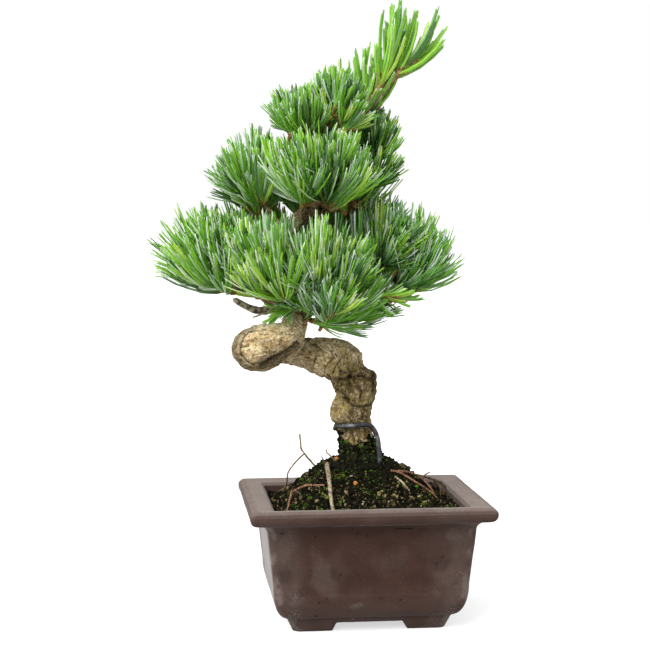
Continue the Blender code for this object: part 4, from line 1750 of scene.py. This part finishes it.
@dataclass
class Needles:
    """Needles in bundles of five, as three-sided blades that taper to a point.

    The outer face looks away from the bundle's middle line, and one inner face carries the
    paler tint.
    """

    shares: tuple[float, ...] = (0.0, 0.22, 0.50, 0.78, 0.975)
    taper: tuple[float, ...] = (0.72, 1.0, 1.0, 0.96, 0.74)
    in_bundle: int = 5

    def surface(self, base: Array, aim: Array, bend: Array, length: Array,
                facing: Array, width: Array, slot: Array) -> Surface:
        """Works out many needles at once.

        Formula: the middle line is a quadratic curve from the base along aim, ending along aim plus
        bend. At each station three corners stand round it, 60, 180 and 300 degrees from the outer face.

        Args:
            base: where each starts, n by 3.
            aim: the direction it leaves in.
            bend: what is added to it over the length.
            length: its length.
            facing: the way its outer face looks.
            width: its width.
            slot: the slot of its outer face; one inner face takes the next.

        Returns:
            One surface.
        """
        count, rings = len(base), len(self.shares)
        t = np.array((*self.shares, 1.0))[None, :, None]
        size = length[:, None, None]
        middle = base[:, None] + 0.5 * size * aim[:, None]
        end = base[:, None] + size * unit(aim + 0.5 * bend)[:, None]
        line = (1 - t)**2 * base[:, None] + 2 * (1 - t) * t * middle + t**2 * end
        tangent = unit(np.gradient(line, axis=1))[:, :rings]
        out = facing[:, None] - (facing[:, None] * tangent).sum(-1, keepdims=True) * tangent
        out = unit(out)
        side = np.cross(tangent, out)
        corner = np.radians((60.0, 180.0, 300.0))
        radius = (width[:, None] * np.array(self.taper) / math.sqrt(3.0))[:, :, None, None]
        ring = line[:, :rings, None] + radius * circle(corner, out[:, :, None], side[:, :, None])
        points = np.concatenate([ring.reshape(count, -1, 3), line[:, -1:]], axis=1)
        step = rings * 3 + 1
        starts = (np.arange(count) * step)[:, None, None]
        quads = (grid_quads(rings, 3) + starts).reshape(-1, 4)
        top = (rings - 1) * 3
        ends = np.array([[2, 1, 0]] + [[top + k, top + (k + 1) % 3, step - 1] for k in range(3)])
        ends = (ends[None] + starts).reshape(-1, 3)
        inner = np.array([1, 0, 0])
        quad_slots = (slot[:, None] + np.tile(inner, rings - 1)[None]).ravel()
        end_slots = (slot[:, None] + np.append(0, inner)[None]).ravel()
        return Surface(points.reshape(-1, 3), [quads, ends], [quad_slots, end_slots])


@dataclass
class Crown:
    """The foliage: twigs grown in each mass, and a spray of needle bundles on each shoot."""

    trunk: Trunk
    boughs: Boughs
    growth: Growth
    needles: Needles
    seed: int = 7
    twig_sides: int = 7
    stem_sides: int = 9
    sheath_sides: int = 5
    sheath_mm: Pair = (3.0, 8.5)

    def limb_into(self, mass: Mass) -> tuple[Array, float]:
        """The wood that a mass grows on from: the end of its bough, or the trunk's tip.

        Args:
            mass: the mass.

        Returns:
            Its stations, and its radius.
        """
        for bough in BOUGHS:
            if bough.mass == mass.name:
                controls = self.boughs.controls(bough)
                return bezier(controls[None], np.linspace(0.7, 1, 6)[None])[0], bough.tip_mm * MM
        route = self.trunk.route()
        low = mass.middle[2] - 1.1 * mass.half[2]
        near = route[(route[:, 2] > low) & (route[:, 2] < mass.middle[2] + mass.half[2])]
        return near[::6, :3], float(near[-1, 3])

    def spray(self, twigs: Twigs, mass: Mass, bundles: int,
              rng: Random) -> tuple[Surface, Surface]:
        """The needles of every shoot in one mass, and the sheaths at their feet.

        Formula: bundles stand round the last part of each shoot, turned by the golden angle, wide open
        at the back and nearly closed at the tip. Each reaches for the mass's outline, between the
        shortest and the longest length.

        Args:
            twigs: the twigs of the mass.
            mass: the mass.
            bundles: how many each shoot bears.
            rng: the random source.

        Returns:
            The needles and the sheaths.
        """
        style = mass.habit.value
        shoots = len(twigs.aims)
        share = (np.arange(bundles) + rng.uniform(0, 1, (shoots, bundles))) / bundles
        bearing = np.minimum(style.bearing * MM / np.maximum(twigs.lengths, 1e-4), 0.9)[:, None]
        base = bezier(twigs.controls, 1 - bearing * (1 - share))
        aim = np.repeat(twigs.aims[:, None], bundles, axis=1)
        opening = np.radians(blend(*style.opening, share ** 0.6) + rng.normal(0, 5.0, share.shape))
        turn = np.arange(bundles) * GOLDEN_ANGLE + rng.uniform(0, TURN, (shoots, 1))
        first = unit(np.cross(aim, (0.3, 1.0, 0.1)))
        second = np.cross(aim, first)
        radial = circle(turn, first, second)
        axis = unit(circle(opening, aim, radial))
        lowest = style.lowest if mass.lowest is None else mass.lowest
        axis = unit(axis + UP * np.clip(lowest - axis[..., 2:], 0.0, 0.8))
        scaled, heading = (base - mass.middle) / mass.half, unit(axis + 0.35 * UP) / mass.half
        a = (heading ** 2).sum(-1)
        b = (scaled * heading).sum(-1)
        c = (scaled ** 2).sum(-1) - 1.0
        reach = (-b + np.sqrt(np.maximum(b * b - a * c, 0.0))) / a
        vigour = rng.uniform(0.74, 1.12, (shoots, 1)) * rng.uniform(0.74, 1.10, share.shape)
        shortest, longest = (MM * value for value in style.lengths)
        length = np.clip(reach * style.past, shortest, longest)
        length = blend(length, longest, style.loose) * vigour

        base, axis = base.reshape(-1, 3), axis.reshape(-1, 3)
        count, each = len(base), self.needles.in_bundle
        first = unit(np.cross(axis, (0.2, 0.3, 1.0)))
        second = np.cross(axis, first)
        roll = rng.uniform(0, TURN, (count, 1)) + np.arange(each) * TURN / each
        outward = circle(roll, first[:, None], second[:, None])
        age = np.clip(1.0 - share + rng.uniform(-0.45, 0.35, (shoots, 1)), 0.0, 1.0)
        tight, loose = style.splay
        splay = np.tan(np.radians(tight + (loose - tight) * age * rng.uniform(0.6, 1.2, age.shape)))
        splay = splay.reshape(-1, 1, 1)
        aims = unit(axis[:, None] + splay * outward)
        widths = style.width * MM * rng.uniform(0.86, 1.12, (count, each))
        bases = base[:, None] + 0.42 * widths[..., None] * outward
        rise = rng.uniform(*style.rise, (shoots, 1)) * rng.uniform(0.85, 1.15, (shoots, bundles))
        rise = rise.reshape(-1, 1, 1)
        bend = rise * (UP - aims * aims[..., 2:]) + rng.normal(0, 0.10, (count, 1, 3)) * np.ones((1, each, 1))
        bend = bend + splay * rng.normal(0, 1.0, bend.shape)
        lengths = np.repeat(length.reshape(-1, 1), each, axis=1) * rng.uniform(0.90, 1.03, (count, each))
        deals = []
        for shares in (style.young, style.aged):
            common = rng.choice(len(Tint), p=shares, size=(shoots, 1, 1))
            stray = rng.choice(len(Tint), p=shares, size=(shoots, bundles, each))
            common = np.where(rng.random((shoots, bundles, 1)) < 0.45, stray[..., :1], common)
            deals.append(np.where(rng.random(stray.shape) < 0.20, stray, common))
        tints = np.where(rng.random(age.shape)[..., None] < age[..., None], deals[1], deals[0])
        needles = self.needles.surface(bases.reshape(-1, 3), aims.reshape(-1, 3), bend.reshape(-1, 3),
                                       lengths.ravel(), outward.reshape(-1, 3), widths.ravel(),
                                       (2 * tints).ravel())
        foot = style.width * MM * rng.uniform(0.78, 1.0, count)
        tall = rng.uniform(*self.sheath_mm, (count, 1)) * MM
        ends = np.stack([base - 0.9 * MM * axis, base + tall * axis], axis=1)
        sheaths = limbs(ends, np.stack([1.10 * foot, 0.80 * foot], axis=1), self.sheath_sides)
        return needles, sheaths

    def stems(self, stems: tuple[Stem, ...], slot: int = 0) -> tuple[Twigs, Surface]:
        """The twigs that are placed at given points.

        Args:
            stems: their points and radii.
            slot: the slot of their finish.

        Returns:
            Their curves, and their bark.
        """
        controls = MM * np.array([stem.points for stem in stems])
        # The two inner control points are moved so that the curve passes through the given ones.
        a, b, c, d = (controls[:, k] for k in range(4))
        first, second = (-5 * a + 18 * b - 9 * c + 2 * d) / 6, (2 * a - 9 * b + 18 * c - 5 * d) / 6
        curves = np.stack([a, first, second, d], axis=1)
        radii = MM * np.array([stem.radii for stem in stems])
        t = np.repeat(np.linspace(0, 1, 14)[None], len(stems), axis=0)
        path = bezier(curves, t)
        girth = blend(radii[:, :1], radii[:, 1:], t)
        girth = girth * (1 + 0.10 * lattice_noise(path, 2.0 * MM, 61))
        aims = unit(d - second)
        lengths = np.linalg.norm(np.diff(path, axis=1), axis=-1).sum(axis=1)
        return Twigs(curves, radii, aims, lengths), limbs(path, girth, self.stem_sides, slot)

    def build(self, twig_barks: list[Material], sheath: Material, tints: list[Material]) -> None:
        """Grows every mass and makes its pieces.

        Args:
            twig_barks: finishes of living and dead twigs.
            sheath: the sheaths' finish.
            tints: the needles' finishes, outer and inner for each tint.
        """
        wood, sheaths = [], []
        sprays: dict[Tier, list[Surface]] = {tier: [] for tier in Tier}
        for number, mass in enumerate(MASSES):
            rng = np.random.default_rng([self.seed, number])
            bundles = mass.habit.value.bundles
            if mass.name == "leader":
                twigs, bark = self.stems(LEADER_STEMS)
                bundles = LEADER_STEMS[0].bundles
            else:
                limb, radius = self.limb_into(mass)
                twigs = self.growth.grow(mass, limb, radius, rng)
                t = np.repeat(np.linspace(0, 1, 8)[None], len(twigs.controls), axis=0)
                girth = blend(twigs.radii[:, :1], twigs.radii[:, 1:], t)
                bark = limbs(bezier(twigs.controls, t), girth, self.twig_sides)
            wood.append(bark)
            needles, feet = self.spray(twigs, mass, bundles, rng)
            sprays[Tier.of(mass)].append(needles)
            sheaths.append(feet)
            if mass.name == "low_right_front":
                twigs, bark = self.stems(SKIRT)
                needles, feet = self.spray(twigs, HANGING, HANGING.habit.value.bundles, rng)
                sprays[Tier.of(mass)].append(needles)
                sheaths.append(feet)
                wood.append(bark)
        for tier, surfaces in sprays.items():
            piece = Surface.joined(surfaces).piece("needles_" + tier.name.lower(), tints, smooth=False)
            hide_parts(*["foliage_" + name for name in tier.value])
        wood.append(self.stems(DEAD_WOOD, 1)[1])
        piece = Surface.joined(wood).piece("twigs", twig_barks)
        piece = Surface.joined(sheaths).piece("sheaths", [sheath])


# The ground in the pot

@dataclass(frozen=True)
class Strand:
    """A root or twig that lies bare: its places in millimetres and the radii of its two ends.

    A lying strand's third numbers are lifts above the soil, and a standing one's are heights.
    The slot is its finish's place in Root.
    """

    slot: int
    radii: Pair
    places: tuple[Place, ...]
    lying: bool = True


class Earth(Enum):
    """The finishes of the earth and its grains, two colours each, with the share of grains."""

    EARTH = ((0.0020, 0.0020, 0.0012), (0.0115, 0.0108, 0.0054), 0.54)
    BROWN = ((0.022, 0.016, 0.007), (0.100, 0.074, 0.032), 0.27)
    TAN = ((0.120, 0.092, 0.040), (0.290, 0.225, 0.110), 0.120)
    WHITE = ((0.200, 0.185, 0.130), (0.400, 0.370, 0.280), 0.006)
    MOSS = ((0.016, 0.040, 0.003), (0.080, 0.165, 0.010), 0.075)
    ORANGE = ((0.300, 0.110, 0.025), (0.520, 0.240, 0.080), 0.0)


class Root(Enum):
    """The finishes of the bare roots and twigs, two colours each."""

    PALE = ((0.150, 0.110, 0.065), (0.420, 0.350, 0.240))
    BROWN = ((0.110, 0.070, 0.035), (0.280, 0.200, 0.110))
    RED = ((0.120, 0.055, 0.030), (0.300, 0.160, 0.095))
    DARK = ((0.030, 0.020, 0.012), (0.120, 0.080, 0.045))


@dataclass
class Soil:
    """The mound of earth: a skin that rises from the rim to the trunk, with grains, stones and roots.

    Grain and climber are the middle radius of the loose grains and of those on the trunk's foot,
    with the spread of its logarithm. Inside the collar round the trunk the earth is finer and
    darker. Each stone gives its place and radius in millimetres, and its finish.
    """

    pot: Pot
    trunk: Trunk
    level: float = 0.0635
    top: float = 0.0895
    span: Pair = (0.0165, 0.0500)
    bulge: float = 0.04
    flat: float = 0.0150
    half: float = 0.0519
    edge: float = 0.0668
    bank: float = 0.95
    rings: int = 120
    foot: Pair = (-1.6 * MM, -2.6 * MM)
    grains: int = 8700
    climbing: int = 1000
    grain: Pair = (0.00056, 0.45)
    climber: Pair = (0.00058, 0.45)
    collar: float = 0.027
    skirt: float = 0.006
    stones: tuple[tuple[float, ...], ...] = (
        (-15.3, -6.3, 1.2, 5), (-0.1, -9.8, 1.1, 2), (-7.3, -28, 1.2, 5),
        (4.6, -33.5, 1.2, 2), (-4.9, -38, 0.9, 3), (2.2, -36.9, 0.7, 3),
        (-16.7, -37, 0.9, 4), (-29.1, -33.8, 1.1, 2), (47.5, 8.8, 1.1, 2),
        (47, -12.6, 1, 2), (-24.1, -34.8, 0.8, 2), (26.8, -31.2, 0.9, 2),
        (40, 12, 1.6, 2), (21, -10, 2, 1), (24.5, -6, 1.7, 1), (-34.4, -4.8, 1, 4),
        (-9.5, -24.2, 0.7, 3), (-30, 20, 1.2, 2), (14, 34, 1.2, 3), (-12, 40, 1.1, 2),
    )
    strands: tuple[Strand, ...] = (
        Strand(0, (1.35, 0.85), ((-20.9, -8.6, 0.6), (-21.4, -20.7, 1.3), (-21.6, -29.6, 1.3),
            (-21.7, -37.2, 1.1), (-21.3, -43.1, 0.3))),
        Strand(1, (0.45, 0.62), ((-34.9, 4, 102.8), (-34.3, 4, 98.9), (-34.1, 4, 94.9), (-32.1, 4, 91.8),
            (-29.6, 4.5, 88.6), (-25.9, 5.2, 84.4), (-23.5, 5.6, 82.5)), False),
        Strand(1, (0.5, 0.32), ((-32.1, 4, 91.8), (-35.6, 5, 88.4), (-38.9, 6.5, 84.4), (-41.3, 8, 79.6),
            (-41.2, 12, 75.4), (-41.3, 20, 70.6), (-43.2, 30, 66.6), (-44.7, 38, 64)), False),
        Strand(1, (0.35, 0.55), ((-21.4, -8, 95.7), (-20.8, -8, 93.7), (-18.7, -9, 92),
            (-15.5, -8.5, 89)), False),
        Strand(3, (0.25, 0.6), ((-24, -9, 92.2), (-22.6, -9, 89.4), (-21.6, -9, 86)), False),
        Strand(2, (0.6, 0.7), ((-24, -26.2, 0.6), (-29, -22.5, 1.3), (-33.5, -18.1, 1.6),
            (-38.1, -14.1, 1.2), (-41, -10.6, 0.2))),
        Strand(2, (0.75, 0.55), ((-40.6, -11, 1.3), (-41.8, -16, 1), (-43.1, -20.7, 0.9),
            (-44.3, -25.7, 0.2))),
        Strand(2, (0.65, 0.5), ((13, -20.7, 0.5), (18.1, -20, 1.4), (23.5, -21, 1.6), (29.2, -20.6, 1.5),
            (35, -19.1, 1.2), (40, -19.2, 0.1))),
        Strand(0, (0.6, 0.45), ((14.7, -24.4, 0.4), (17.5, -27, 1.2), (20, -29.2, 1), (21.4, -30.4, 0.2))),
        Strand(3, (0.7, 0.6), ((22.2, -11.8, 83.6), (28.7, -7.1, 80.6), (34.8, -1.3, 78.4), (42, 1, 75.8),
            (46, 2, 73.4), (48.2, 2, 69.6), (48.8, 1, 64)), False),
        Strand(2, (0.6, 0.45), ((17.3, -18, 0.6), (24.8, -13.1, 1.6), (31.3, -8.2, 1.7), (36.4, -11, 1.2),
            (38, -14.5, 0.1))),
        Strand(1, (0.35, 0.55), ((37.2, -8, 82.2), (34, -7.5, 80.4), (31.7, -6.2, 77.8),
            (29, -5, 78)), False),
        Strand(3, (0.6, 0.45), ((40.5, 0.5, 76), (43.5, -2, 73.4), (43.6, -4.5, 70.6),
            (42.5, -6.4, 66.5)), False),
        Strand(3, (0.45, 0.3), ((-38.7, -15.3, 0.9), (-37.2, -20, 1.4), (-35.8, -24.5, 0.3))),
        Strand(0, (0.55, 0.4), ((-12, 30, 0.3), (-20, 34, 1.3), (-27, 33, 1.1), (-33, 36, 0.1))),
        Strand(2, (0.6, 0.4), ((12, 24, 0.3), (18, 31, 1.4), (22, 37, 1.2), (30, 40, 0.1))),
    )

    def mound(self, x: Array, y: Array) -> Array:
        """The mound's height before its roughness.

        Formula: the share of the way in from the edge to the flat at the trunk's foot, plus a swell
        along a sine, carries it from the level to the top, nowhere above a bank that rises from the
        pot's wall.

        Args:
            x: places along X.
            y: places along Y.

        Returns:
            Heights.
        """
        first, last = self.span
        distance = np.hypot(x - self.foot[0], y - self.foot[1])
        share = np.clip((last - distance) / (last - first), 0, 1)
        height = blend(self.level, self.top, share + self.bulge * np.sin(math.pi * share))
        right, back = np.abs(x - self.pot.middle[0]), np.abs(y - self.pot.middle[1])
        inside = self.half - np.maximum(right, back + self.pot.depth_less)
        return np.minimum(height, self.edge + self.bank * np.maximum(inside, 0.0))

    def skin(self) -> Array:
        """Rings of the mound from the rim to the flat round the trunk, roughened by noise.

        Returns:
            Points, rings by points by 3.
        """
        share = np.linspace(0, 1, self.rings)[:, None, None]
        rim = self.pot.ring(np.array([self.half]))[0] + np.array(self.pot.middle)
        angle = np.arctan2(rim[:, 1] - self.pot.middle[1], rim[:, 0] - self.pot.middle[0])
        flat = np.array(self.foot) + self.flat * spokes(angle)
        plan = rim[None] * (1 - share) + flat[None] * share
        places = np.concatenate([plan, np.zeros((*plan.shape[:2], 1))], axis=-1)
        rough = 0.0021 * layered_noise(places, 0.009, 81) + 0.0008 * layered_noise(places, 0.0030, 83)
        rough = rough * smooth_step(0.0, 0.06, share[..., 0])
        places[..., 2] = self.mound(plan[..., 0], plan[..., 1]) + rough
        return places

    def build(self, finishes: list[Material], root_finishes: list[Material]) -> None:
        """Makes the mound, its grains and stones, and the bare roots.

        Args:
            finishes: those of Earth, in its order.
            root_finishes: those of Root, in its order.
        """
        rings = self.skin()
        thinner = rings[:, ::3]
        centre = np.array((*self.foot, self.top))
        below = np.array((*self.pot.middle, self.level - self.skirt))
        skirt = np.concatenate([thinner[:1] - UP * self.skirt, thinner])
        mound = closed_skins(skirt[None], np.stack([below, centre])[None])
        piece = mound.piece("soil_mound", finishes[:1])
        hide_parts("soil")
        self.build_grains(rings, finishes)
        self.build_strands(root_finishes)

    def lumps(self, places: Array, size: Array, rng: Random) -> tuple[Array, Array]:
        """Rough grains or stones at given places.

        Formula: each is an icosahedron, stretched, turned and dented by its own random numbers, and
        partly sunk.

        Args:
            places: where they lie, n by 3.
            size: their radii.
            rng: the random source.

        Returns:
            Points and triangles.
        """
        gold = (1 + math.sqrt(5)) / 2
        shape = unit(np.array([(-1, gold, 0), (1, gold, 0), (-1, -gold, 0), (1, -gold, 0),
                               (0, -1, gold), (0, 1, gold), (0, -1, -gold), (0, 1, -gold),
                               (gold, 0, -1), (gold, 0, 1), (-gold, 0, -1), (-gold, 0, 1)], float))
        faces = np.array([(0, 11, 5), (0, 5, 1), (0, 1, 7), (0, 7, 10), (0, 10, 11), (1, 5, 9), (5, 11, 4),
                          (11, 10, 2), (10, 7, 6), (7, 1, 8), (3, 9, 4), (3, 4, 2), (3, 2, 6), (3, 6, 8),
                          (3, 8, 9), (4, 9, 5), (2, 4, 11), (6, 2, 10), (8, 6, 7), (9, 8, 1)])
        count = len(places)
        stretch = rng.uniform(0.55, 1.3, (count, 1, 3))
        turned = np.linalg.qr(rng.normal(size=(count, 3, 3)))[0]
        turned[np.linalg.det(turned) < 0] *= -1
        dents = rng.uniform(0.75, 1.2, (count, 12, 1))
        points = np.einsum("gvi,gji->gvj", shape[None] * dents * stretch, turned) * size[:, None, None]
        points += places[:, None] + UP * (0.25 * size[:, None, None])
        return points.reshape(-1, 3), (faces[None] + 12 * np.arange(count)[:, None, None]).reshape(-1, 3)

    def build_grains(self, rings: Array, finishes: list[Material]) -> None:
        """Scatters loose grains over the mound, with moss in clusters, and lays the stones.

        Args:
            rings: the mound's points.
            finishes: the finishes.
        """
        rng = np.random.default_rng(91)
        share = 1 - np.sqrt(rng.uniform(0.0, 1.0, self.grains))
        row = (share * (len(rings) - 1)).astype(int)
        places = rings[row, rng.integers(0, rings.shape[1], self.grains)]
        size = rng.lognormal(math.log(self.grain[0]), self.grain[1], self.grains)
        weights = np.array([kind.value[2] for kind in Earth])
        kinds = rng.choice(len(Earth), p=weights / weights.sum(), size=self.grains)
        moss = list(Earth).index(Earth.MOSS)
        damp = layered_noise(places, 0.010, 87)
        patch = (damp > 0.12) & (rng.random(self.grains) < 0.42)
        kinds = np.where(patch & (kinds < 2), moss, np.where((kinds == moss) & (damp < -0.05), 0, kinds))
        near = np.hypot(places[:, 0] - self.foot[0], places[:, 1] - self.foot[1]) < self.collar
        kinds = np.where(near & (kinds > 0) & (kinds < 3) & (rng.random(self.grains) < 0.65), 0, kinds)
        kinds = np.where(near & (kinds < 3) & (rng.random(self.grains) < 0.15), moss, kinds)
        size = np.where(near, 0.88 * size, size)
        size = size * np.where(kinds == moss, 0.62, np.where(kinds > 0, 0.77, 1.0))
        climb = self.trunk.wet[rng.integers(0, len(self.trunk.wet), self.climbing)]
        places = np.vstack([places, climb])
        radius, spread = self.climber
        size = np.append(size, rng.lognormal(math.log(radius), spread, self.climbing))
        kinds = np.append(kinds, rng.choice((0, 1, moss), p=(0.80, 0.10, 0.10), size=self.climbing))
        x, y, radius, kind = np.transpose(self.stones) * np.array((MM, MM, 1.35 * MM, 1))[:, None]
        places = np.vstack([places, np.stack([x, y, self.mound(x, y) + 0.5 * MM], axis=-1)])
        size = np.append(size, radius)
        points, blocks = self.lumps(places, size, rng)
        kinds = np.append(kinds, kind.astype(int))
        piece = Surface(points, [blocks], [np.repeat(kinds, 20)]).piece("soil_grains", finishes, smooth=False)

    def build_strands(self, finishes: list[Material]) -> None:
        """Makes the bare roots and twigs.

        Formula: a smooth curve through the strand's places, thinning evenly, with noise in its course
        and radius.

        Args:
            finishes: those of Root, in its order.
        """
        surfaces = []
        for number, strand in enumerate(self.strands):
            places = np.array(strand.places) * MM
            if strand.lying:
                places[:, 2] += self.mound(places[:, 0], places[:, 1])
            path = smooth_route(places, 9)
            share = np.linspace(0, 1, len(path))
            waver = [layered_noise(path, 0.003, 300 + 3 * number + k) for k in range(3)]
            path = path + 0.25 * MM * np.stack(waver, axis=-1)
            radius = MM * blend(*strand.radii, share)
            radius = radius * (1 + 0.28 * layered_noise(path, 0.0025, 350 + number))
            surfaces.append(limbs(path[None], radius[None], 9, strand.slot))
        piece = Surface.joined(surfaces).piece("bare_roots", finishes)


@dataclass
class TrainingWire:
    """A short length of training wire that bites into the neck of the trunk, its end pushed into the soil.

    The standoff is how far the wire's middle stands off the bark at its start and end.
    """

    trunk: Trunk
    radius: float = 1.4 * MM
    sides: int = 18
    standoff: Pair = (-1.9 * MM, 1.6 * MM)
    heights: Pair = (0.1076, 0.1100)
    angles: Pair = (120.0, 292.0)
    foot: tuple[Place, ...] = (
        (1.6, -13.2, 109.7), (4.2, -12.3, 107.6), (6, -12.2, 104.2), (7, -12.6, 100.2), (7.4, -13.3, 96),
        (7.6, -14.1, 91), (7.7, -14.5, 86.5),
    )

    def build(self, metal: Material) -> None:
        """Makes the wire: an arc round the trunk's middle line, thin at its start, then down to the soil.

        Args:
            metal: its finish.
        """
        route = self.trunk.route()
        share = np.linspace(0, 1, 10)
        angle = np.radians(blend(*self.angles, share))
        height = blend(*self.heights, share)
        low = route[route[:, 2] < 0.125]
        middle = np.stack([np.interp(height, low[:, 2], low[:, k]) for k in (0, 1)], axis=-1)
        off = blend(*self.standoff, smooth_step(0.05, 0.52, share))
        girth = np.interp(height, low[:, 2], low[:, 3]) + off
        bends = middle + girth[:, None] * spokes(angle)
        points = np.vstack([np.c_[bends, height], MM * np.array(self.foot)])
        path = smooth_route(points, 8)
        girth = self.radius * np.interp(np.linspace(0, 1, len(path)), (0.0, 0.40), (0.35, 1.0))
        piece = limbs(path[None], girth[None], self.sides).piece("training_wire", [metal])
        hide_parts("wire")


# The studio

@dataclass
class Studio:
    """A plain white floor, soft light and the camera.

    Each light gives the direction from the plant to it, its strength and the angle it fills.
    """

    camera_place: Place = (-0.0945, -0.8701, 0.2250)
    camera_turn: Place = (85.99, 0.0, -6.441)
    lens: float = 87.02
    floor_half: float = 30.0
    floor_grey: float = 0.50
    floor_glow: float = 0.62
    surroundings: float = 0.34
    lights: tuple[tuple[str, Place, float, float], ...] = (
        ("overhead", (-0.05, -0.1, 1.0), 1.8, 110.0),
        ("key", (-0.60, -0.80, 0.85), 2.5, 44.0),
        ("left", (-1.0, -0.10, 0.45), 1.3, 60.0),
        ("fill", (0.70, -0.50, 0.60), 0.45, 80.0),
    )

    def build(self) -> None:
        """Makes the floor, the lights and the camera."""
        self.build_floor()
        self.build_lights()
        self.build_camera()

    def build_floor(self) -> None:
        """Makes a level floor that the camera sees as white paper, with only faint shadows."""
        half = self.floor_half
        corners = [(-half, -half, 0), (half, -half, 0), (half, half, 0), (-half, half, 0)]
        mesh = bpy.data.meshes.new("floor")
        mesh.from_pydata(corners, [], [(0, 1, 2, 3)])
        material, recipe = blank_material("floor")
        seen = recipe.add("LightPath").outputs["Is Camera Ray"]
        shader = recipe.add("BsdfPrincipled", None, Base_Color=(self.floor_grey,) * 3, Roughness=0.9,
                            Specular_IOR_Level=0.0, Emission_Color=WHITE,
                            Emission_Strength=recipe.ranged(seen, 0.0, 1.0, 0.0, self.floor_glow))
        recipe.add("OutputMaterial", None, Surface=shader.outputs[0])
        mesh.materials.append(material)
        floor = linked("floor", mesh)

    def sun(self, name: str, back: Place, strength: float, spread: float) -> None:
        """Adds a light as wide and even as a large softbox far away.

        Args:
            name: its name.
            back: the direction to it.
            strength: its strength.
            spread: the angle it fills, in degrees.
        """
        data = bpy.data.lights.new(name, "SUN")
        data.energy = strength
        data.angle = math.radians(spread)
        lamp = linked(name, data)
        x, y, z = unit(np.array(back))
        lamp.rotation_euler = (math.acos(z), 0.0, math.atan2(x, -y))

    def build_lights(self) -> None:
        """Adds the lights and the white surroundings."""
        world = bpy.data.worlds.new("surroundings")
        world.use_nodes = True
        recipe = Recipe(world.node_tree)
        seen = recipe.add("LightPath").outputs["Is Camera Ray"]
        level = recipe.ranged(seen, 0.0, 1.0, self.surroundings, 1.0)
        background = recipe.add("Background", None, Color=WHITE, Strength=level)
        recipe.add("OutputWorld", None, Surface=background.outputs[0])
        bpy.context.scene.world = world
        for light in self.lights:
            self.sun(*light)

    def build_camera(self) -> None:
        """Sets up the camera at the photograph's angle, and plain colour handling."""
        data = bpy.data.cameras.new("camera")
        data.lens = self.lens
        data.sensor_width = 36.0
        data.clip_start = 0.01
        camera = linked("camera", data)
        camera.location = self.camera_place
        camera.rotation_euler = [math.radians(angle) for angle in self.camera_turn]
        bpy.context.scene.camera = camera
        bpy.context.scene.view_settings.view_transform = "Standard"


def main() -> None:
    """Builds every sub-assembly in order."""
    logging.basicConfig(level=logging.INFO, format="%(message)s")
    groups = ShaderGroups.build()
    pot = Pot()
    pot.build(Clay().build(groups))
    trunk = Trunk()
    bark = Bark().build(groups)
    trunk.build(bark)
    boughs = Boughs(trunk)
    boughs.build(bark)
    twig_barks = [
        Mottled("twig_bark", (0.150, 0.080, 0.035), (0.480, 0.290, 0.140), 400.0).build(groups),
        Mottled("dead_bark", (0.060, 0.048, 0.036), (0.520, 0.430, 0.310), 260.0).build(groups),
    ]
    tints = []
    for tint in Tint:
        for face, colour in zip(("outer", "inner"), tint.value):
            darker = tuple(0.82 * value for value in colour)
            name = f"needle_{tint.name.lower()}_{face}"
            tints.append(Mottled(name, darker, colour, 90.0, 0.45, 0.0001, 0.45).build(groups))
    sheath = Mottled("needle_sheath", (0.220, 0.115, 0.035), (0.520, 0.310, 0.110), 500.0).build(groups)
    Crown(trunk, boughs, Growth(), Needles()).build(twig_barks, sheath, tints)
    earths = [
        Mottled("soil_" + kind.name.lower(), *kind.value[:2], gloss=0.04).build(groups) for kind in Earth]
    roots = [Mottled("root_" + kind.name.lower(), *kind.value, 700.0).build(groups) for kind in Root]
    Soil(pot, trunk).build(earths, roots)
    TrainingWire(trunk).build(DullWire().build(groups))
    Studio().build()


if __name__ == "__main__":
    main()
